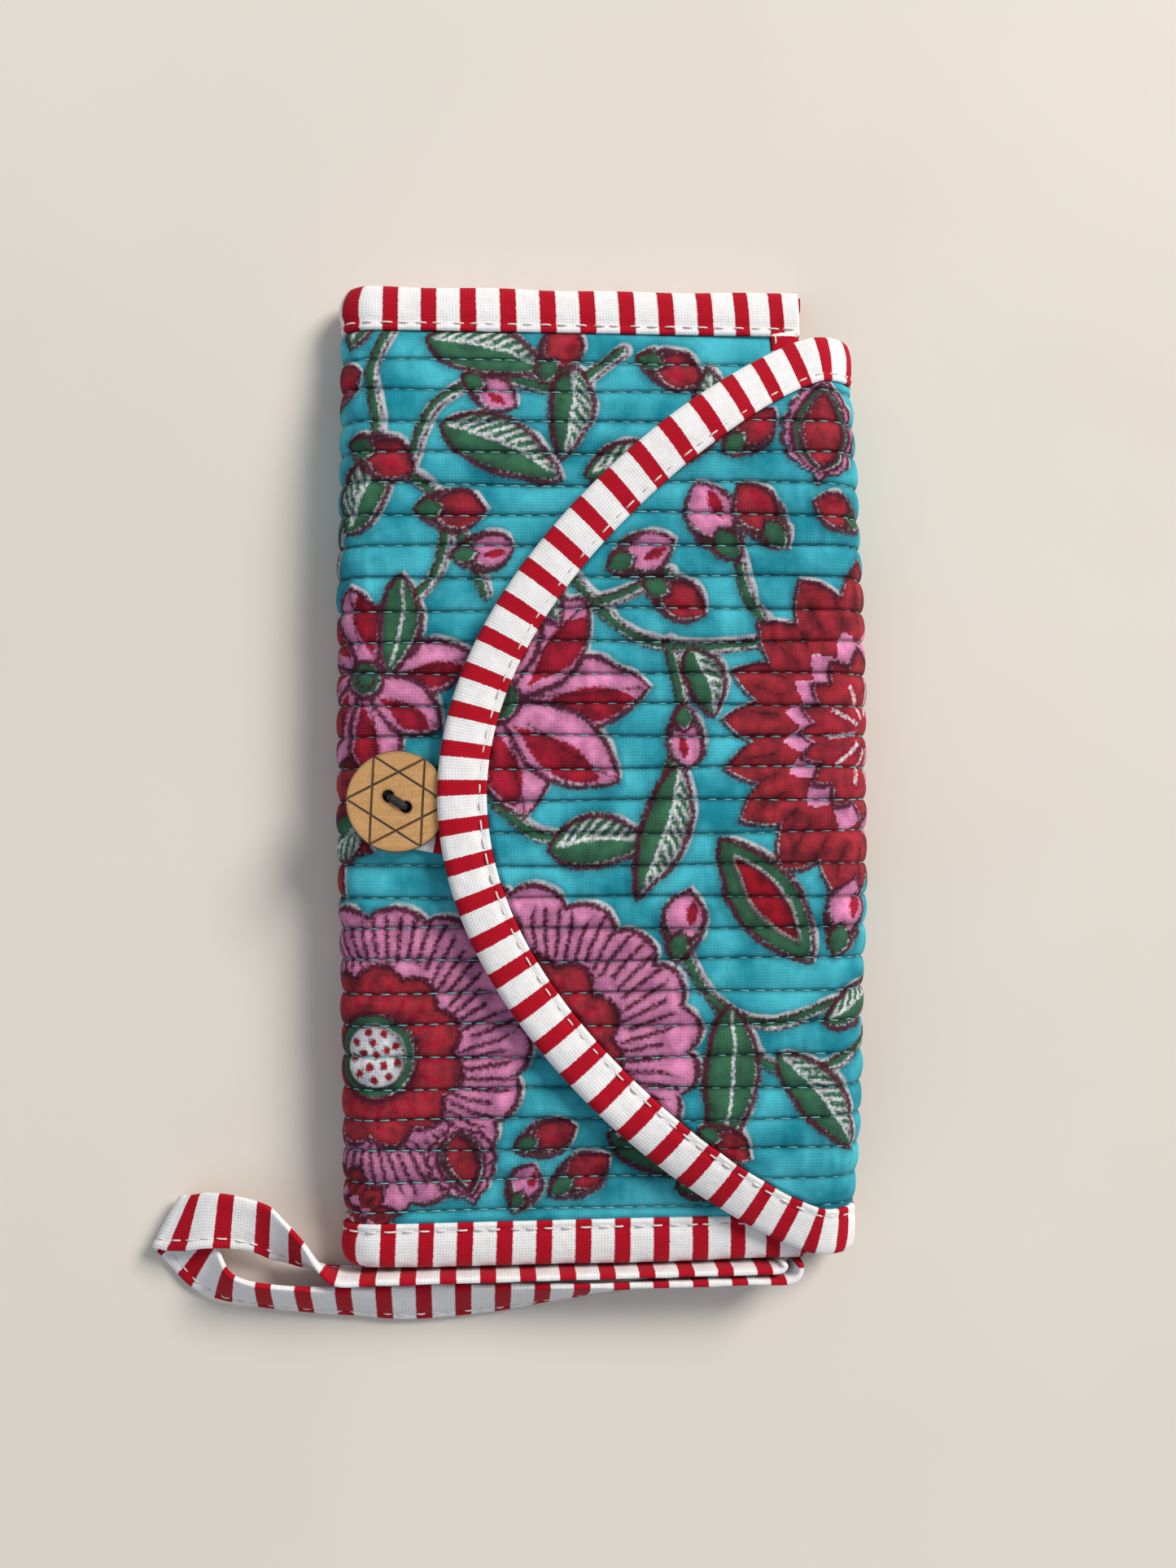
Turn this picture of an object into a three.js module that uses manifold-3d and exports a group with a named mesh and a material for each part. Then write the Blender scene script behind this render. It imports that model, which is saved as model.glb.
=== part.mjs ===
// Quilted cotton wristlet wallet, lying closed on its back. Millimetres, +Z up, +Y along its long side.
// One quilted strip is folded twice: a round fold on the -X side makes the pocket of the case, and the
// spine on the +X side turns the strip back over the pocket as a curved flap. Striped cotton binds every
// edge, a wooden button holds the flap by a cloth loop, and a striped wrist strap leaves the -Y end.
import * as THREE from "three";
import { mergeVertices } from "three/addons/utils/BufferGeometryUtils.js";
import Module from "manifold-3d";

const wasm = await Module();
wasm.setup();

// ---------------------------------------------------------------- driving sizes
const WIDTH = 108; // over the fold and the spine, along X
const LENGTH = 200; // over both end bindings, along Y
const GAP = 0.3; // room left between any two layers

// the quilted strip, outside to inside
const CLOTH = 0.7; // printed cotton with its quilting puff
const BATTING = 1.3;
const LINING = 0.4;
const PANEL = CLOTH + GAP + BATTING + GAP + LINING;

const POCKET_ROOM = 9; // between the linings of the case
const CASE_THICK = 2 * PANEL + POCKET_ROOM;
const BINDING_WIDE = 9.7; // how far a binding reaches in from its edge
const BINDING_CLOTH = 0.7;
const MOUTH_BINDING_WIDE = 6.7;

// the button and the loop that hooks round its shank
const BUTTON_RADIUS = 10;
const BUTTON_THICK = 2.2;
const BUTTON_PAST_FLAP = 7.8; // from the flap's furthest point to the button's centre
const BUTTON_Y = -5.1;
const BUTTON_HOLE_RADIUS = 1.2;
const BUTTON_HOLE_SPACING = 4.1;
const BUTTON_TURN = -0.57; // the line through both holes, from +X
const THREAD_RADIUS = 0.7;
const LOOP_CLOTH = 0.9;
const LOOP_INNER = 4.6; // half of the slot that the shank stands in
const LOOP_ARM = 5; // width of each arm
const LOOP_REACH = 25; // from the button's centre to the sewn ends
const LOOP_SPREAD = 2.6; // how far each arm leans outwards on the way

// the flap
const FLAP_SHORT = 20.2; // how far its curved edge stops short of the fold
const FLAP_DRIFT = -4.4; // the hand-folded flap sits this far towards the strap
const FLAP_INSET = 6.1; // how much shorter than the case it is, at each end
const SHOULDER_POWER = 16; // how late the curve turns out to the spine
const SHOULDER_SHARE = 0.1;

// card pockets and the zipped coin pouch inside
const POCKET_CLOTH = 0.5;
const POCKET_FOOT = 6.5; // from the axis of the round fold to the pockets' sewn edges
const CARD_POCKET_SETBACKS = [17.5, 30.5]; // each pocket's mouth from the case's mouth, lower pocket first
const POCKET_HEM = 3;
const INSIDE_CLEAR = 2; // from an end binding to what is sewn inside
const ZIP_SETBACK = 14.5; // from the case's mouth to the line of the zip
const ZIP_END_CLEAR = 18; // from the end of the tapes to the coils
const TAPE_WIDE = 8;
const TAPE_THICK = 0.4;
const TAPE_LAP = 1.7; // how far the pouch's cloth covers the zip tape
const COIL_WIDE = 0.9;
const COIL_THICK = 1;
const COIL_GAP = 1; // between the two coils, where the slider's post runs
const SLIDER_WIDE = 6;
const SLIDER_LONG = 8;
const SLIDER_PLATE = 0.6;
const SLIDER_CLEAR = 0.2;
const PULL_LONG = 9;
const PULL_WIDE = 3.4;
const PULL_THICK = 0.8;
const BRIDGE_DROP = 1.1; // from the slider's plate down to the bridge pin
const BRIDGE_RADIUS = 0.45;
const PULL_RUNNING = 0.1; // the pull's eye round the bridge pin
const EAR_LONG = 2;
const EAR_THICK = 0.7;
const SLIDER_POST_LONG = 2;
const STOP_WIDE = 2.8;
const STOP_LONG = 2.3;
const STOP_PROUD = 0.2;
const BURY = 0.1; // how far two pieces of one solid run into each other

// the wrist strap
const STRAP_WIDE = 11;
const STRAP_THICK = 1.6;

// ---------------------------------------------------------------- levels and lines worked out from them
const FOLD_RADIUS = CASE_THICK / 2;
const FOLD_X = -WIDTH / 2 + FOLD_RADIUS; // axis of the round fold
const LOOP_LOW = CASE_THICK + GAP;
const BUTTON_LOW = LOOP_LOW + LOOP_CLOTH + GAP;
const BUTTON_HIGH = BUTTON_LOW + BUTTON_THICK;
const FLAP_LOW = BUTTON_LOW;
const FLAP_HIGH = FLAP_LOW + PANEL;
const SPINE_RADIUS = FLAP_HIGH / 2;
const SPINE_X = WIDTH / 2 - SPINE_RADIUS; // the axis that the flap folds about
const MOUTH_X = SPINE_X - 1.75; // free edge of the pocket's front
const END = LENGTH / 2;
const CLOTH_END = END - BINDING_WIDE - GAP; // where the printed cloth meets an end binding
const CORE_END = END - BINDING_CLOTH - GAP; // where the batting and lining stop inside it
const FLAP_END_X = SPINE_X - GAP;
const FLAP_APEX_X = -WIDTH / 2 + FLAP_SHORT;
const FLAP_REACH = SPINE_X - FLAP_APEX_X;
const FLAP_HALF = END - FLAP_INSET;
const BUTTON_X = FLAP_APEX_X - BUTTON_PAST_FLAP;
const POCKET_FOOT_X = FOLD_X + POCKET_FOOT;
const INSIDE_HALF = CLOTH_END - INSIDE_CLEAR;
const ZIP_X = MOUTH_X - ZIP_SETBACK;
const ZIP_HALF = INSIDE_HALF - ZIP_END_CLEAR;
const ZIP_BAND = COIL_GAP / 2 + COIL_WIDE + GAP + TAPE_WIDE; // half of the whole zip's width
const COIN_POUCH_MOUTH_X = ZIP_X - ZIP_BAND + TAPE_LAP;
const STEPS = { curveSegments: 10, bevelEnabled: false };

// ---------------------------------------------------------------- solids
const solidOf = (geometry) => {
  const bare = geometry.clone();
  bare.deleteAttribute("normal");
  bare.deleteAttribute("uv");
  const merged = mergeVertices(bare, 1e-4);
  return new wasm.Manifold(
    new wasm.Mesh({
      numProp: 3,
      vertProperties: merged.attributes.position.array,
      triVerts: new Uint32Array(merged.index.array),
    }),
  );
};

const geometryOf = (solid) => {
  const mesh = solid.getMesh();
  const made = new THREE.BufferGeometry();
  made.setAttribute("position", new THREE.BufferAttribute(mesh.vertProperties, 3));
  made.setIndex(new THREE.BufferAttribute(mesh.triVerts, 1));
  return made;
};

const without = (geometry, ...tools) =>
  geometryOf(tools.reduce((left, tool) => left.subtract(solidOf(tool)), solidOf(geometry)));

const joined = (first, ...others) =>
  geometryOf(others.reduce((left, other) => left.add(solidOf(other)), solidOf(first)));

// A shape drawn in X and Y, standing from one height to another.
const upright = (shape, low, high) =>
  new THREE.ExtrudeGeometry(shape, { ...STEPS, depth: high - low }).translate(0, 0, low);

// A profile drawn in X and Z, running along Y.
const alongY = (profile, from, to) =>
  new THREE.ExtrudeGeometry(profile, { ...STEPS, depth: to - from }).rotateX(Math.PI / 2).translate(0, to, 0);

const block = (low, high) =>
  new THREE.BoxGeometry(high[0] - low[0], high[1] - low[1], high[2] - low[2]).translate(
    (low[0] + high[0]) / 2,
    (low[1] + high[1]) / 2,
    (low[2] + high[2]) / 2,
  );

const post = (radius, x, y, low, high) =>
  new THREE.CylinderGeometry(radius, radius, high - low, 20)
    .rotateX(Math.PI / 2)
    .translate(x, y, (low + high) / 2);

// ---------------------------------------------------------------- materials
const cotton = (color) => new THREE.MeshStandardMaterial({ color, roughness: 0.9, metalness: 0 });
const printedCotton = cotton("#2a9aa6");
const stripedCotton = cotton("#e9e4e2");
const plainCotton = cotton("#e4dccb");
const wadding = cotton("#f1efe8");
const thread = cotton("#1f1a22");
const zipTape = cotton("#b01030");
const buttonWood = new THREE.MeshStandardMaterial({ color: "#c99a62", roughness: 0.65, metalness: 0 });
const nylon = new THREE.MeshStandardMaterial({ color: "#c21a3c", roughness: 0.4, metalness: 0 });
const zipMetal = new THREE.MeshStandardMaterial({ color: "#b9b4a8", roughness: 0.3, metalness: 1 });

const wallet = new THREE.Group();
const place = (name, geometry, material) => {
  const mesh = new THREE.Mesh(geometry, material);
  mesh.name = name;
  wallet.add(mesh);
};

// ---------------------------------------------------------------- the folded case
// One layer of the case, `thick` deep and `depth` below the outer face: back, round fold and front.
function caseLayer(depth, thick, backEnd, frontEnd) {
  const layer = new THREE.Shape();
  layer.moveTo(backEnd, depth);
  layer.lineTo(FOLD_X, depth);
  layer.absarc(FOLD_X, FOLD_RADIUS, FOLD_RADIUS - depth, -Math.PI / 2, Math.PI / 2, true);
  layer.lineTo(frontEnd, CASE_THICK - depth);
  layer.lineTo(frontEnd, CASE_THICK - depth - thick);
  layer.absarc(FOLD_X, FOLD_RADIUS, FOLD_RADIUS - depth - thick, Math.PI / 2, -Math.PI / 2, false);
  layer.lineTo(backEnd, depth + thick);
  layer.closePath();
  return layer;
}

// The whole side silhouette of the case, `inset` inside its outer face.
function caseSilhouette(inset) {
  const side = new THREE.Shape();
  side.moveTo(MOUTH_X - inset, inset);
  side.lineTo(FOLD_X, inset);
  side.absarc(FOLD_X, FOLD_RADIUS, FOLD_RADIUS - inset, -Math.PI / 2, Math.PI / 2, true);
  side.lineTo(MOUTH_X - inset, CASE_THICK - inset);
  side.closePath();
  return side;
}

const BATTING_DEPTH = CLOTH + GAP;
const LINING_DEPTH = BATTING_DEPTH + BATTING + GAP;
const CORE_X = MOUTH_X - BINDING_CLOTH - GAP;
const FRONT_CLOTH_X = MOUTH_X - MOUTH_BINDING_WIDE - GAP;

place(
  "case_outer_cloth",
  alongY(caseLayer(0, CLOTH, MOUTH_X, FRONT_CLOTH_X), -CLOTH_END, CLOTH_END),
  printedCotton,
);
place("case_batting", alongY(caseLayer(BATTING_DEPTH, BATTING, CORE_X, CORE_X), -CORE_END, CORE_END), wadding);
place(
  "case_lining",
  alongY(caseLayer(LINING_DEPTH, LINING, CORE_X, FRONT_CLOTH_X), -CORE_END, CORE_END),
  plainCotton,
);

// Each end binding is a folded band that closes one end of the case over its whole thickness.
for (const [name, side] of [
  ["end_binding_top", 1],
  ["end_binding_bottom", -1],
]) {
  const inner = CLOTH_END + GAP;
  const cap = side > 0 ? [inner, END] : [-END, -inner];
  const room = side > 0 ? [inner - 1, END - BINDING_CLOTH] : [-END + BINDING_CLOTH, -inner + 1];
  place(
    name,
    without(alongY(caseSilhouette(0), ...cap), alongY(caseSilhouette(BINDING_CLOTH), ...room)),
    stripedCotton,
  );
}

// The mouth binding hooks over the free edge of the pocket's front.
const mouthLow = CASE_THICK - PANEL;
place(
  "mouth_binding",
  without(
    block([MOUTH_X - MOUTH_BINDING_WIDE, -CLOTH_END, mouthLow], [MOUTH_X, CLOTH_END, CASE_THICK]),
    block(
      [MOUTH_X - MOUTH_BINDING_WIDE - 1, -END, mouthLow + LINING],
      [MOUTH_X - BINDING_CLOTH, END, CASE_THICK - BINDING_CLOTH],
    ),
  ),
  stripedCotton,
);

// ---------------------------------------------------------------- the spine, where the strip turns back
// `over` lengthens both ends, for a cut that has to pass right through them.
function spineLayer(depth, thick, over = 0) {
  const layer = new THREE.Shape();
  layer.moveTo(MOUTH_X + GAP - over, depth);
  layer.absarc(SPINE_X, SPINE_RADIUS, SPINE_RADIUS - depth, -Math.PI / 2, Math.PI / 2, false);
  layer.lineTo(SPINE_X - over, FLAP_HIGH - depth);
  layer.lineTo(SPINE_X - over, FLAP_HIGH - depth - thick);
  layer.absarc(SPINE_X, SPINE_RADIUS, SPINE_RADIUS - depth - thick, Math.PI / 2, -Math.PI / 2, true);
  layer.lineTo(MOUTH_X + GAP - over, depth + thick);
  layer.closePath();
  return layer;
}

const flapY = (distance) => FLAP_DRIFT + distance;
const spineClothHalf = FLAP_HALF - BINDING_WIDE - GAP;
const spineCoreHalf = FLAP_HALF - BINDING_CLOTH - GAP;
place(
  "spine_outer_cloth",
  alongY(spineLayer(0, CLOTH), flapY(-spineClothHalf), flapY(spineClothHalf)),
  printedCotton,
);
place(
  "spine_batting",
  alongY(spineLayer(BATTING_DEPTH, BATTING), flapY(-spineCoreHalf), flapY(spineCoreHalf)),
  wadding,
);
place(
  "spine_lining",
  alongY(spineLayer(LINING_DEPTH, LINING), flapY(-spineClothHalf), flapY(spineClothHalf)),
  plainCotton,
);
for (const [name, side] of [
  ["spine_binding_top", 1],
  ["spine_binding_bottom", -1],
]) {
  const span = (near, far) => [flapY(side * near), flapY(side * far)].sort((a, b) => a - b);
  place(
    name,
    without(
      alongY(spineLayer(0, PANEL), ...span(FLAP_HALF - BINDING_WIDE, FLAP_HALF)),
      alongY(
        spineLayer(BINDING_CLOTH, PANEL - BINDING_CLOTH - LINING, 1),
        ...span(FLAP_HALF - BINDING_WIDE - 1, FLAP_HALF - BINDING_CLOTH),
      ),
    ),
    stripedCotton,
  );
}

// ---------------------------------------------------------------- the flap
// The flap's outline, moved in by `inset`: a shallow parabola that turns out to the spine at its shoulders.
function flapOutline(inset) {
  const steps = 48;
  const outline = new THREE.Shape();
  const half = FLAP_HALF - inset;
  outline.moveTo(FLAP_END_X, flapY(-half));
  for (let i = 0; i <= steps; i++) {
    const u = -1 + (2 * i) / steps;
    const reach = (1 - SHOULDER_SHARE) * u ** 2 + SHOULDER_SHARE * u ** SHOULDER_POWER;
    const bend = 2 * (1 - SHOULDER_SHARE) * u + SHOULDER_SHARE * SHOULDER_POWER * u ** (SHOULDER_POWER - 1);
    const slope = (FLAP_REACH / FLAP_HALF) * bend;
    const unit = Math.hypot(slope, 1);
    const x = FLAP_APEX_X + FLAP_REACH * reach + inset / unit;
    const y = Math.max(-half, Math.min(half, FLAP_HALF * u - (inset * slope) / unit));
    if (x < FLAP_END_X - 0.5) outline.lineTo(x, flapY(y));
  }
  outline.lineTo(FLAP_END_X, flapY(half));
  outline.closePath();
  return outline;
}

const buttonRelief = post(BUTTON_RADIUS + 2 * GAP, BUTTON_X, BUTTON_Y, 0, BUTTON_HIGH + GAP);
const flapClothLow = FLAP_HIGH - CLOTH;
const flapBattingLow = FLAP_HIGH - BATTING_DEPTH - BATTING;
place(
  "flap_outer_cloth",
  upright(flapOutline(BINDING_WIDE + GAP), flapClothLow, FLAP_HIGH),
  printedCotton,
);
place(
  "flap_batting",
  without(
    upright(flapOutline(BINDING_CLOTH + GAP), flapBattingLow, FLAP_HIGH - BATTING_DEPTH),
    buttonRelief,
  ),
  wadding,
);
place("flap_lining", upright(flapOutline(BINDING_WIDE + GAP), FLAP_LOW, FLAP_LOW + LINING), plainCotton);
place(
  "flap_binding",
  without(
    upright(flapOutline(0), FLAP_LOW, FLAP_HIGH),
    upright(flapOutline(BINDING_WIDE), FLAP_LOW - 1, FLAP_HIGH + 1),
    block([FLAP_END_X - GAP, -LENGTH, FLAP_LOW - 1], [FLAP_END_X + 1, LENGTH, FLAP_HIGH + 1]),
    upright(flapOutline(BINDING_CLOTH), FLAP_LOW + LINING, FLAP_HIGH - BINDING_CLOTH),
    buttonRelief,
  ),
  stripedCotton,
);

// The loop: a flat strip folded into a U whose closed end hooks round the button's shank.
function loopShape() {
  const outer = LOOP_INNER + LOOP_ARM;
  const end = BUTTON_X + LOOP_REACH;
  const loop = new THREE.Shape();
  loop.moveTo(end, BUTTON_Y - outer - LOOP_SPREAD);
  loop.absarc(BUTTON_X, BUTTON_Y, outer, -Math.PI / 2, Math.PI / 2, true);
  loop.lineTo(end, BUTTON_Y + outer + LOOP_SPREAD);
  loop.lineTo(end, BUTTON_Y + LOOP_INNER + LOOP_SPREAD);
  loop.absarc(BUTTON_X, BUTTON_Y, LOOP_INNER, Math.PI / 2, -Math.PI / 2, false);
  loop.lineTo(end, BUTTON_Y - LOOP_INNER - LOOP_SPREAD);
  loop.closePath();
  return loop;
}
place("button_loop", upright(loopShape(), LOOP_LOW, LOOP_LOW + LOOP_CLOTH), stripedCotton);

// ---------------------------------------------------------------- the button and its thread
const holes = [-1, 1].map((side) => [
  BUTTON_X + (side * BUTTON_HOLE_SPACING * Math.cos(BUTTON_TURN)) / 2,
  BUTTON_Y + (side * BUTTON_HOLE_SPACING * Math.sin(BUTTON_TURN)) / 2,
]);

const buttonSide = new THREE.Path();
buttonSide.moveTo(0, 0);
buttonSide.lineTo(BUTTON_RADIUS - GAP, 0);
buttonSide.lineTo(BUTTON_RADIUS, GAP);
buttonSide.lineTo(BUTTON_RADIUS, BUTTON_THICK - GAP);
buttonSide.lineTo(BUTTON_RADIUS - GAP, BUTTON_THICK);
buttonSide.lineTo(0, BUTTON_THICK);
place(
  "button",
  without(
    new THREE.LatheGeometry(buttonSide.getPoints(), 48)
      .rotateX(Math.PI / 2)
      .translate(BUTTON_X, BUTTON_Y, BUTTON_LOW),
    ...holes.map(([x, y]) => post(BUTTON_HOLE_RADIUS, x, y, BUTTON_LOW - 1, BUTTON_HIGH + 1)),
  ),
  buttonWood,
);

// Two strands through the holes, a bar across the top and a wound shank on the cloth.
const SHANK_RADIUS = BUTTON_HOLE_SPACING / 2 + THREAD_RADIUS;
const BAR_LIFT = 0.15;
place(
  "button_thread",
  joined(
    post(SHANK_RADIUS, BUTTON_X, BUTTON_Y, LOOP_LOW, BUTTON_LOW - GAP),
    ...holes.map(([x, y]) =>
      post(THREAD_RADIUS, x, y, LOOP_LOW + BURY, BUTTON_HIGH + BAR_LIFT + THREAD_RADIUS / 2),
    ),
    new THREE.BoxGeometry(BUTTON_HOLE_SPACING, 2 * THREAD_RADIUS, THREAD_RADIUS)
      .rotateZ(BUTTON_TURN)
      .translate(BUTTON_X, BUTTON_Y, BUTTON_HIGH + BAR_LIFT + THREAD_RADIUS / 2),
  ),
  thread,
);

// ---------------------------------------------------------------- card pockets on the back lining
CARD_POCKET_SETBACKS.forEach((setback, tier) => {
  const mouth = MOUTH_X - setback;
  const low = PANEL + GAP + tier * (POCKET_CLOTH + GAP);
  const pocket = new THREE.Shape();
  pocket.moveTo(POCKET_FOOT_X, low);
  pocket.lineTo(mouth, low);
  pocket.lineTo(mouth, low + 2 * POCKET_CLOTH);
  pocket.lineTo(mouth - POCKET_HEM, low + 2 * POCKET_CLOTH);
  pocket.lineTo(mouth - POCKET_HEM, low + POCKET_CLOTH);
  pocket.lineTo(POCKET_FOOT_X, low + POCKET_CLOTH);
  pocket.closePath();
  place(`card_pocket_${tier + 1}`, alongY(pocket, -INSIDE_HALF, INSIDE_HALF), stripedCotton);
});

// ---------------------------------------------------------------- zipped coin pouch under the front lining
const POUCH_LOW = CASE_THICK - PANEL - GAP - POCKET_CLOTH;
place(
  "coin_pouch_cloth",
  block([POCKET_FOOT_X, -INSIDE_HALF, POUCH_LOW], [COIN_POUCH_MOUTH_X, INSIDE_HALF, POUCH_LOW + POCKET_CLOTH]),
  plainCotton,
);
const TAPE_LOW = POUCH_LOW - GAP - TAPE_THICK;
const COIL_LOW = TAPE_LOW + TAPE_THICK - COIL_THICK;
for (const [name, side] of [
  ["inner", -1],
  ["outer", 1],
]) {
  const coilNear = ZIP_X + (side * COIL_GAP) / 2;
  const coilFar = coilNear + side * COIL_WIDE;
  const tapeNear = coilFar + side * GAP;
  const tapeFar = tapeNear + side * TAPE_WIDE;
  const between = (a, b) => [Math.min(a, b), Math.max(a, b)];
  const [tapeA, tapeB] = between(tapeNear, tapeFar);
  const [coilA, coilB] = between(coilNear, coilFar);
  place(
    `zip_tape_${name}`,
    block([tapeA, -INSIDE_HALF, TAPE_LOW], [tapeB, INSIDE_HALF, TAPE_LOW + TAPE_THICK]),
    zipTape,
  );
  place(
    `zip_coil_${name}`,
    block([coilA, -ZIP_HALF, COIL_LOW], [coilB, ZIP_HALF - SLIDER_LONG / 2, COIL_LOW + COIL_THICK]),
    nylon,
  );
}
place(
  "zip_bottom_stop",
  block(
    [ZIP_X - STOP_WIDE / 2, -ZIP_HALF - GAP - STOP_LONG, COIL_LOW - STOP_PROUD],
    [ZIP_X + STOP_WIDE / 2, -ZIP_HALF - GAP, COIL_LOW + COIL_THICK],
  ),
  zipMetal,
);

// The slider is two plates joined by a thin post that runs between the coils, with a bridge below for the pull.
const SLIDER_Y = ZIP_HALF - SLIDER_LONG / 2;
const plateTop = COIL_LOW + COIL_THICK + SLIDER_CLEAR;
const plateBottom = COIL_LOW - SLIDER_CLEAR - SLIDER_PLATE;
const sliderFrom = SLIDER_Y - SLIDER_LONG / 2;
const sliderTo = SLIDER_Y + SLIDER_LONG / 2;
const POST_HALF = COIL_GAP / 2 - SLIDER_CLEAR;
const plateAt = (low, thick) =>
  block([ZIP_X - SLIDER_WIDE / 2, sliderFrom, low], [ZIP_X + SLIDER_WIDE / 2, sliderTo, low + thick]);
const bridgeZ = plateBottom - BRIDGE_DROP;
const earHalf = PULL_WIDE / 2 + GAP;
const earAt = (side) =>
  block(
    [ZIP_X + (side > 0 ? earHalf : -earHalf - EAR_THICK), SLIDER_Y - EAR_LONG / 2, bridgeZ - BRIDGE_RADIUS],
    [ZIP_X + (side > 0 ? earHalf + EAR_THICK : -earHalf), SLIDER_Y + EAR_LONG / 2, plateBottom + BURY],
  );
const bridgePin = (radius, half) =>
  new THREE.CylinderGeometry(radius, radius, 2 * half, 16)
    .rotateZ(Math.PI / 2)
    .translate(ZIP_X, SLIDER_Y, bridgeZ);
place(
  "zip_slider",
  joined(
    plateAt(plateBottom, SLIDER_PLATE),
    plateAt(plateTop, SLIDER_PLATE),
    block(
      [ZIP_X - POST_HALF, sliderTo - SLIDER_POST_LONG, plateBottom],
      [ZIP_X + POST_HALF, sliderTo, plateTop + BURY],
    ),
    earAt(-1),
    earAt(1),
    bridgePin(BRIDGE_RADIUS, earHalf + EAR_THICK / 2),
  ),
  zipMetal,
);

// The pull is a flat tab whose eye runs on the bridge pin; it lies along the coils towards -Y.
const EYE_RADIUS = BRIDGE_RADIUS + PULL_RUNNING;
const PULL_EYE = 1;
const tab = new THREE.Shape();
tab.moveTo(-PULL_WIDE / 2, PULL_EYE);
tab.lineTo(-PULL_WIDE / 2, -PULL_LONG + PULL_WIDE / 2);
tab.absarc(0, -PULL_LONG + PULL_WIDE / 2, PULL_WIDE / 2, Math.PI, 2 * Math.PI, false);
tab.lineTo(PULL_WIDE / 2, PULL_EYE);
tab.closePath();
place(
  "zip_pull",
  without(
    joined(
      new THREE.ExtrudeGeometry(tab, { ...STEPS, depth: PULL_THICK }).translate(
        ZIP_X,
        SLIDER_Y,
        bridgeZ - PULL_THICK / 2,
      ),
      bridgePin(PULL_EYE, PULL_WIDE / 2),
    ),
    bridgePin(EYE_RADIUS, PULL_WIDE),
  ),
  zipMetal,
);

// ---------------------------------------------------------------- the wrist strap
// Stations along the flat strap: X, Y and Z of its middle, then the direction from its seamed edge to its folded
// edge. Both ends go into the end binding side by side, on edge. It folds flat over itself at the far end.
const END_Y = -END - GAP;
const STRAP_STATIONS = [
  [39.8, END_Y, 6.4, 0, 0, 1],
  [39.8, -101, 6.4, 0, 0, 1],
  [39.3, -102.5, 6.4, 0, 0, 1],
  [38.1, -103.4, 6.4, 0, 0, 1],
  [36, -103.85, 6.4, 0, 0.035, 0.999],
  [28.6, -103.9, 6.4, 0, 0.07, 0.998],
  [18, -104.3, 6.4, 0, 0.139, 0.99],
  [7.7, -104.9, 6.3, 0, 0.259, 0.966],
  [-2.6, -105.6, 6.1, 0, 0.391, 0.921],
  [-12, -106.3, 5.7, 0, 0.53, 0.848],
  [-18, -106.9, 5.3, 0, 0.629, 0.777],
  [-26.4, -107.4, 5, 0, 0.707, 0.707],
  [-33, -107.6, 4.6, 0, 0.766, 0.643],
  [-40.7, -107.8, 4.6, 0, 0.777, 0.629],
  [-47.7, -107.4, 4.9, 0, 0.719, 0.695],
  [-55.9, -106.8, 5.2, 0, 0.669, 0.743],
  [-65.8, -105.8, 5.4, 0, 0.629, 0.777],
  [-73, -104.6, 5.4, 0.078, 0.638, 0.766],
  [-77.4, -103.2, 4.8, 0.22, 0.697, 0.682],
  [-81.2, -100.5, 2.9, 0.45, 0.825, 0.342],
  [-84.4, -96.8, 1.5, 0.657, 0.747, 0.105],
  [-86.8, -94, 1.15, 0.697, 0.717, 0.017],
  [-88.3, -92.2, 1.1, 0.48, 0.87, 0],
  [-88.9, -91.3, 1.5, 0.48, 0.87, 0],
  [-89.04, -90.67, 2.5, 0.48, 0.87, 0],
  [-88.45, -90.43, 3.5, 0.48, 0.87, 0],
  [-87.2, -90.45, 4, 0.44, 0.89, 0.02],
  [-84.5, -90.2, 5, 0.3, 0.95, -0.03],
  [-80.5, -89.6, 6.3, 0.15, 0.99, -0.04],
  [-75.5, -89.9, 6.8, 0.1, 0.989, 0.105],
  [-70, -91.4, 6.6, 0.096, 0.946, 0.309],
  [-65.6, -94.2, 6, 0.083, 0.825, 0.559],
  [-61.4, -97.1, 6.2, 0.062, 0.613, 0.788],
  [-58.2, -99.5, 6.4, 0.028, 0.274, 0.961],
  [-55, -101.3, 6.4, 0, 0.017, 1],
  [-46, -101.5, 6.4, 0, 0, 1],
  [-30, -101.5, 6.4, 0, 0, 1],
  [-10, -101.5, 6.4, 0, 0, 1],
  [10, -101.5, 6.4, 0, 0, 1],
  [28, -101.5, 6.4, 0, 0, 1],
  [34.9, -101.5, 6.4, 0, 0, 1],
  [35.5, -101.42, 6.4, 0, 0, 1],
  [36.05, -101.15, 6.4, 0, 0, 1],
  [36.4, -100.75, 6.4, 0, 0, 1],
  [36.5, END_Y, 6.4, 0, 0, 1],
];

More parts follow.
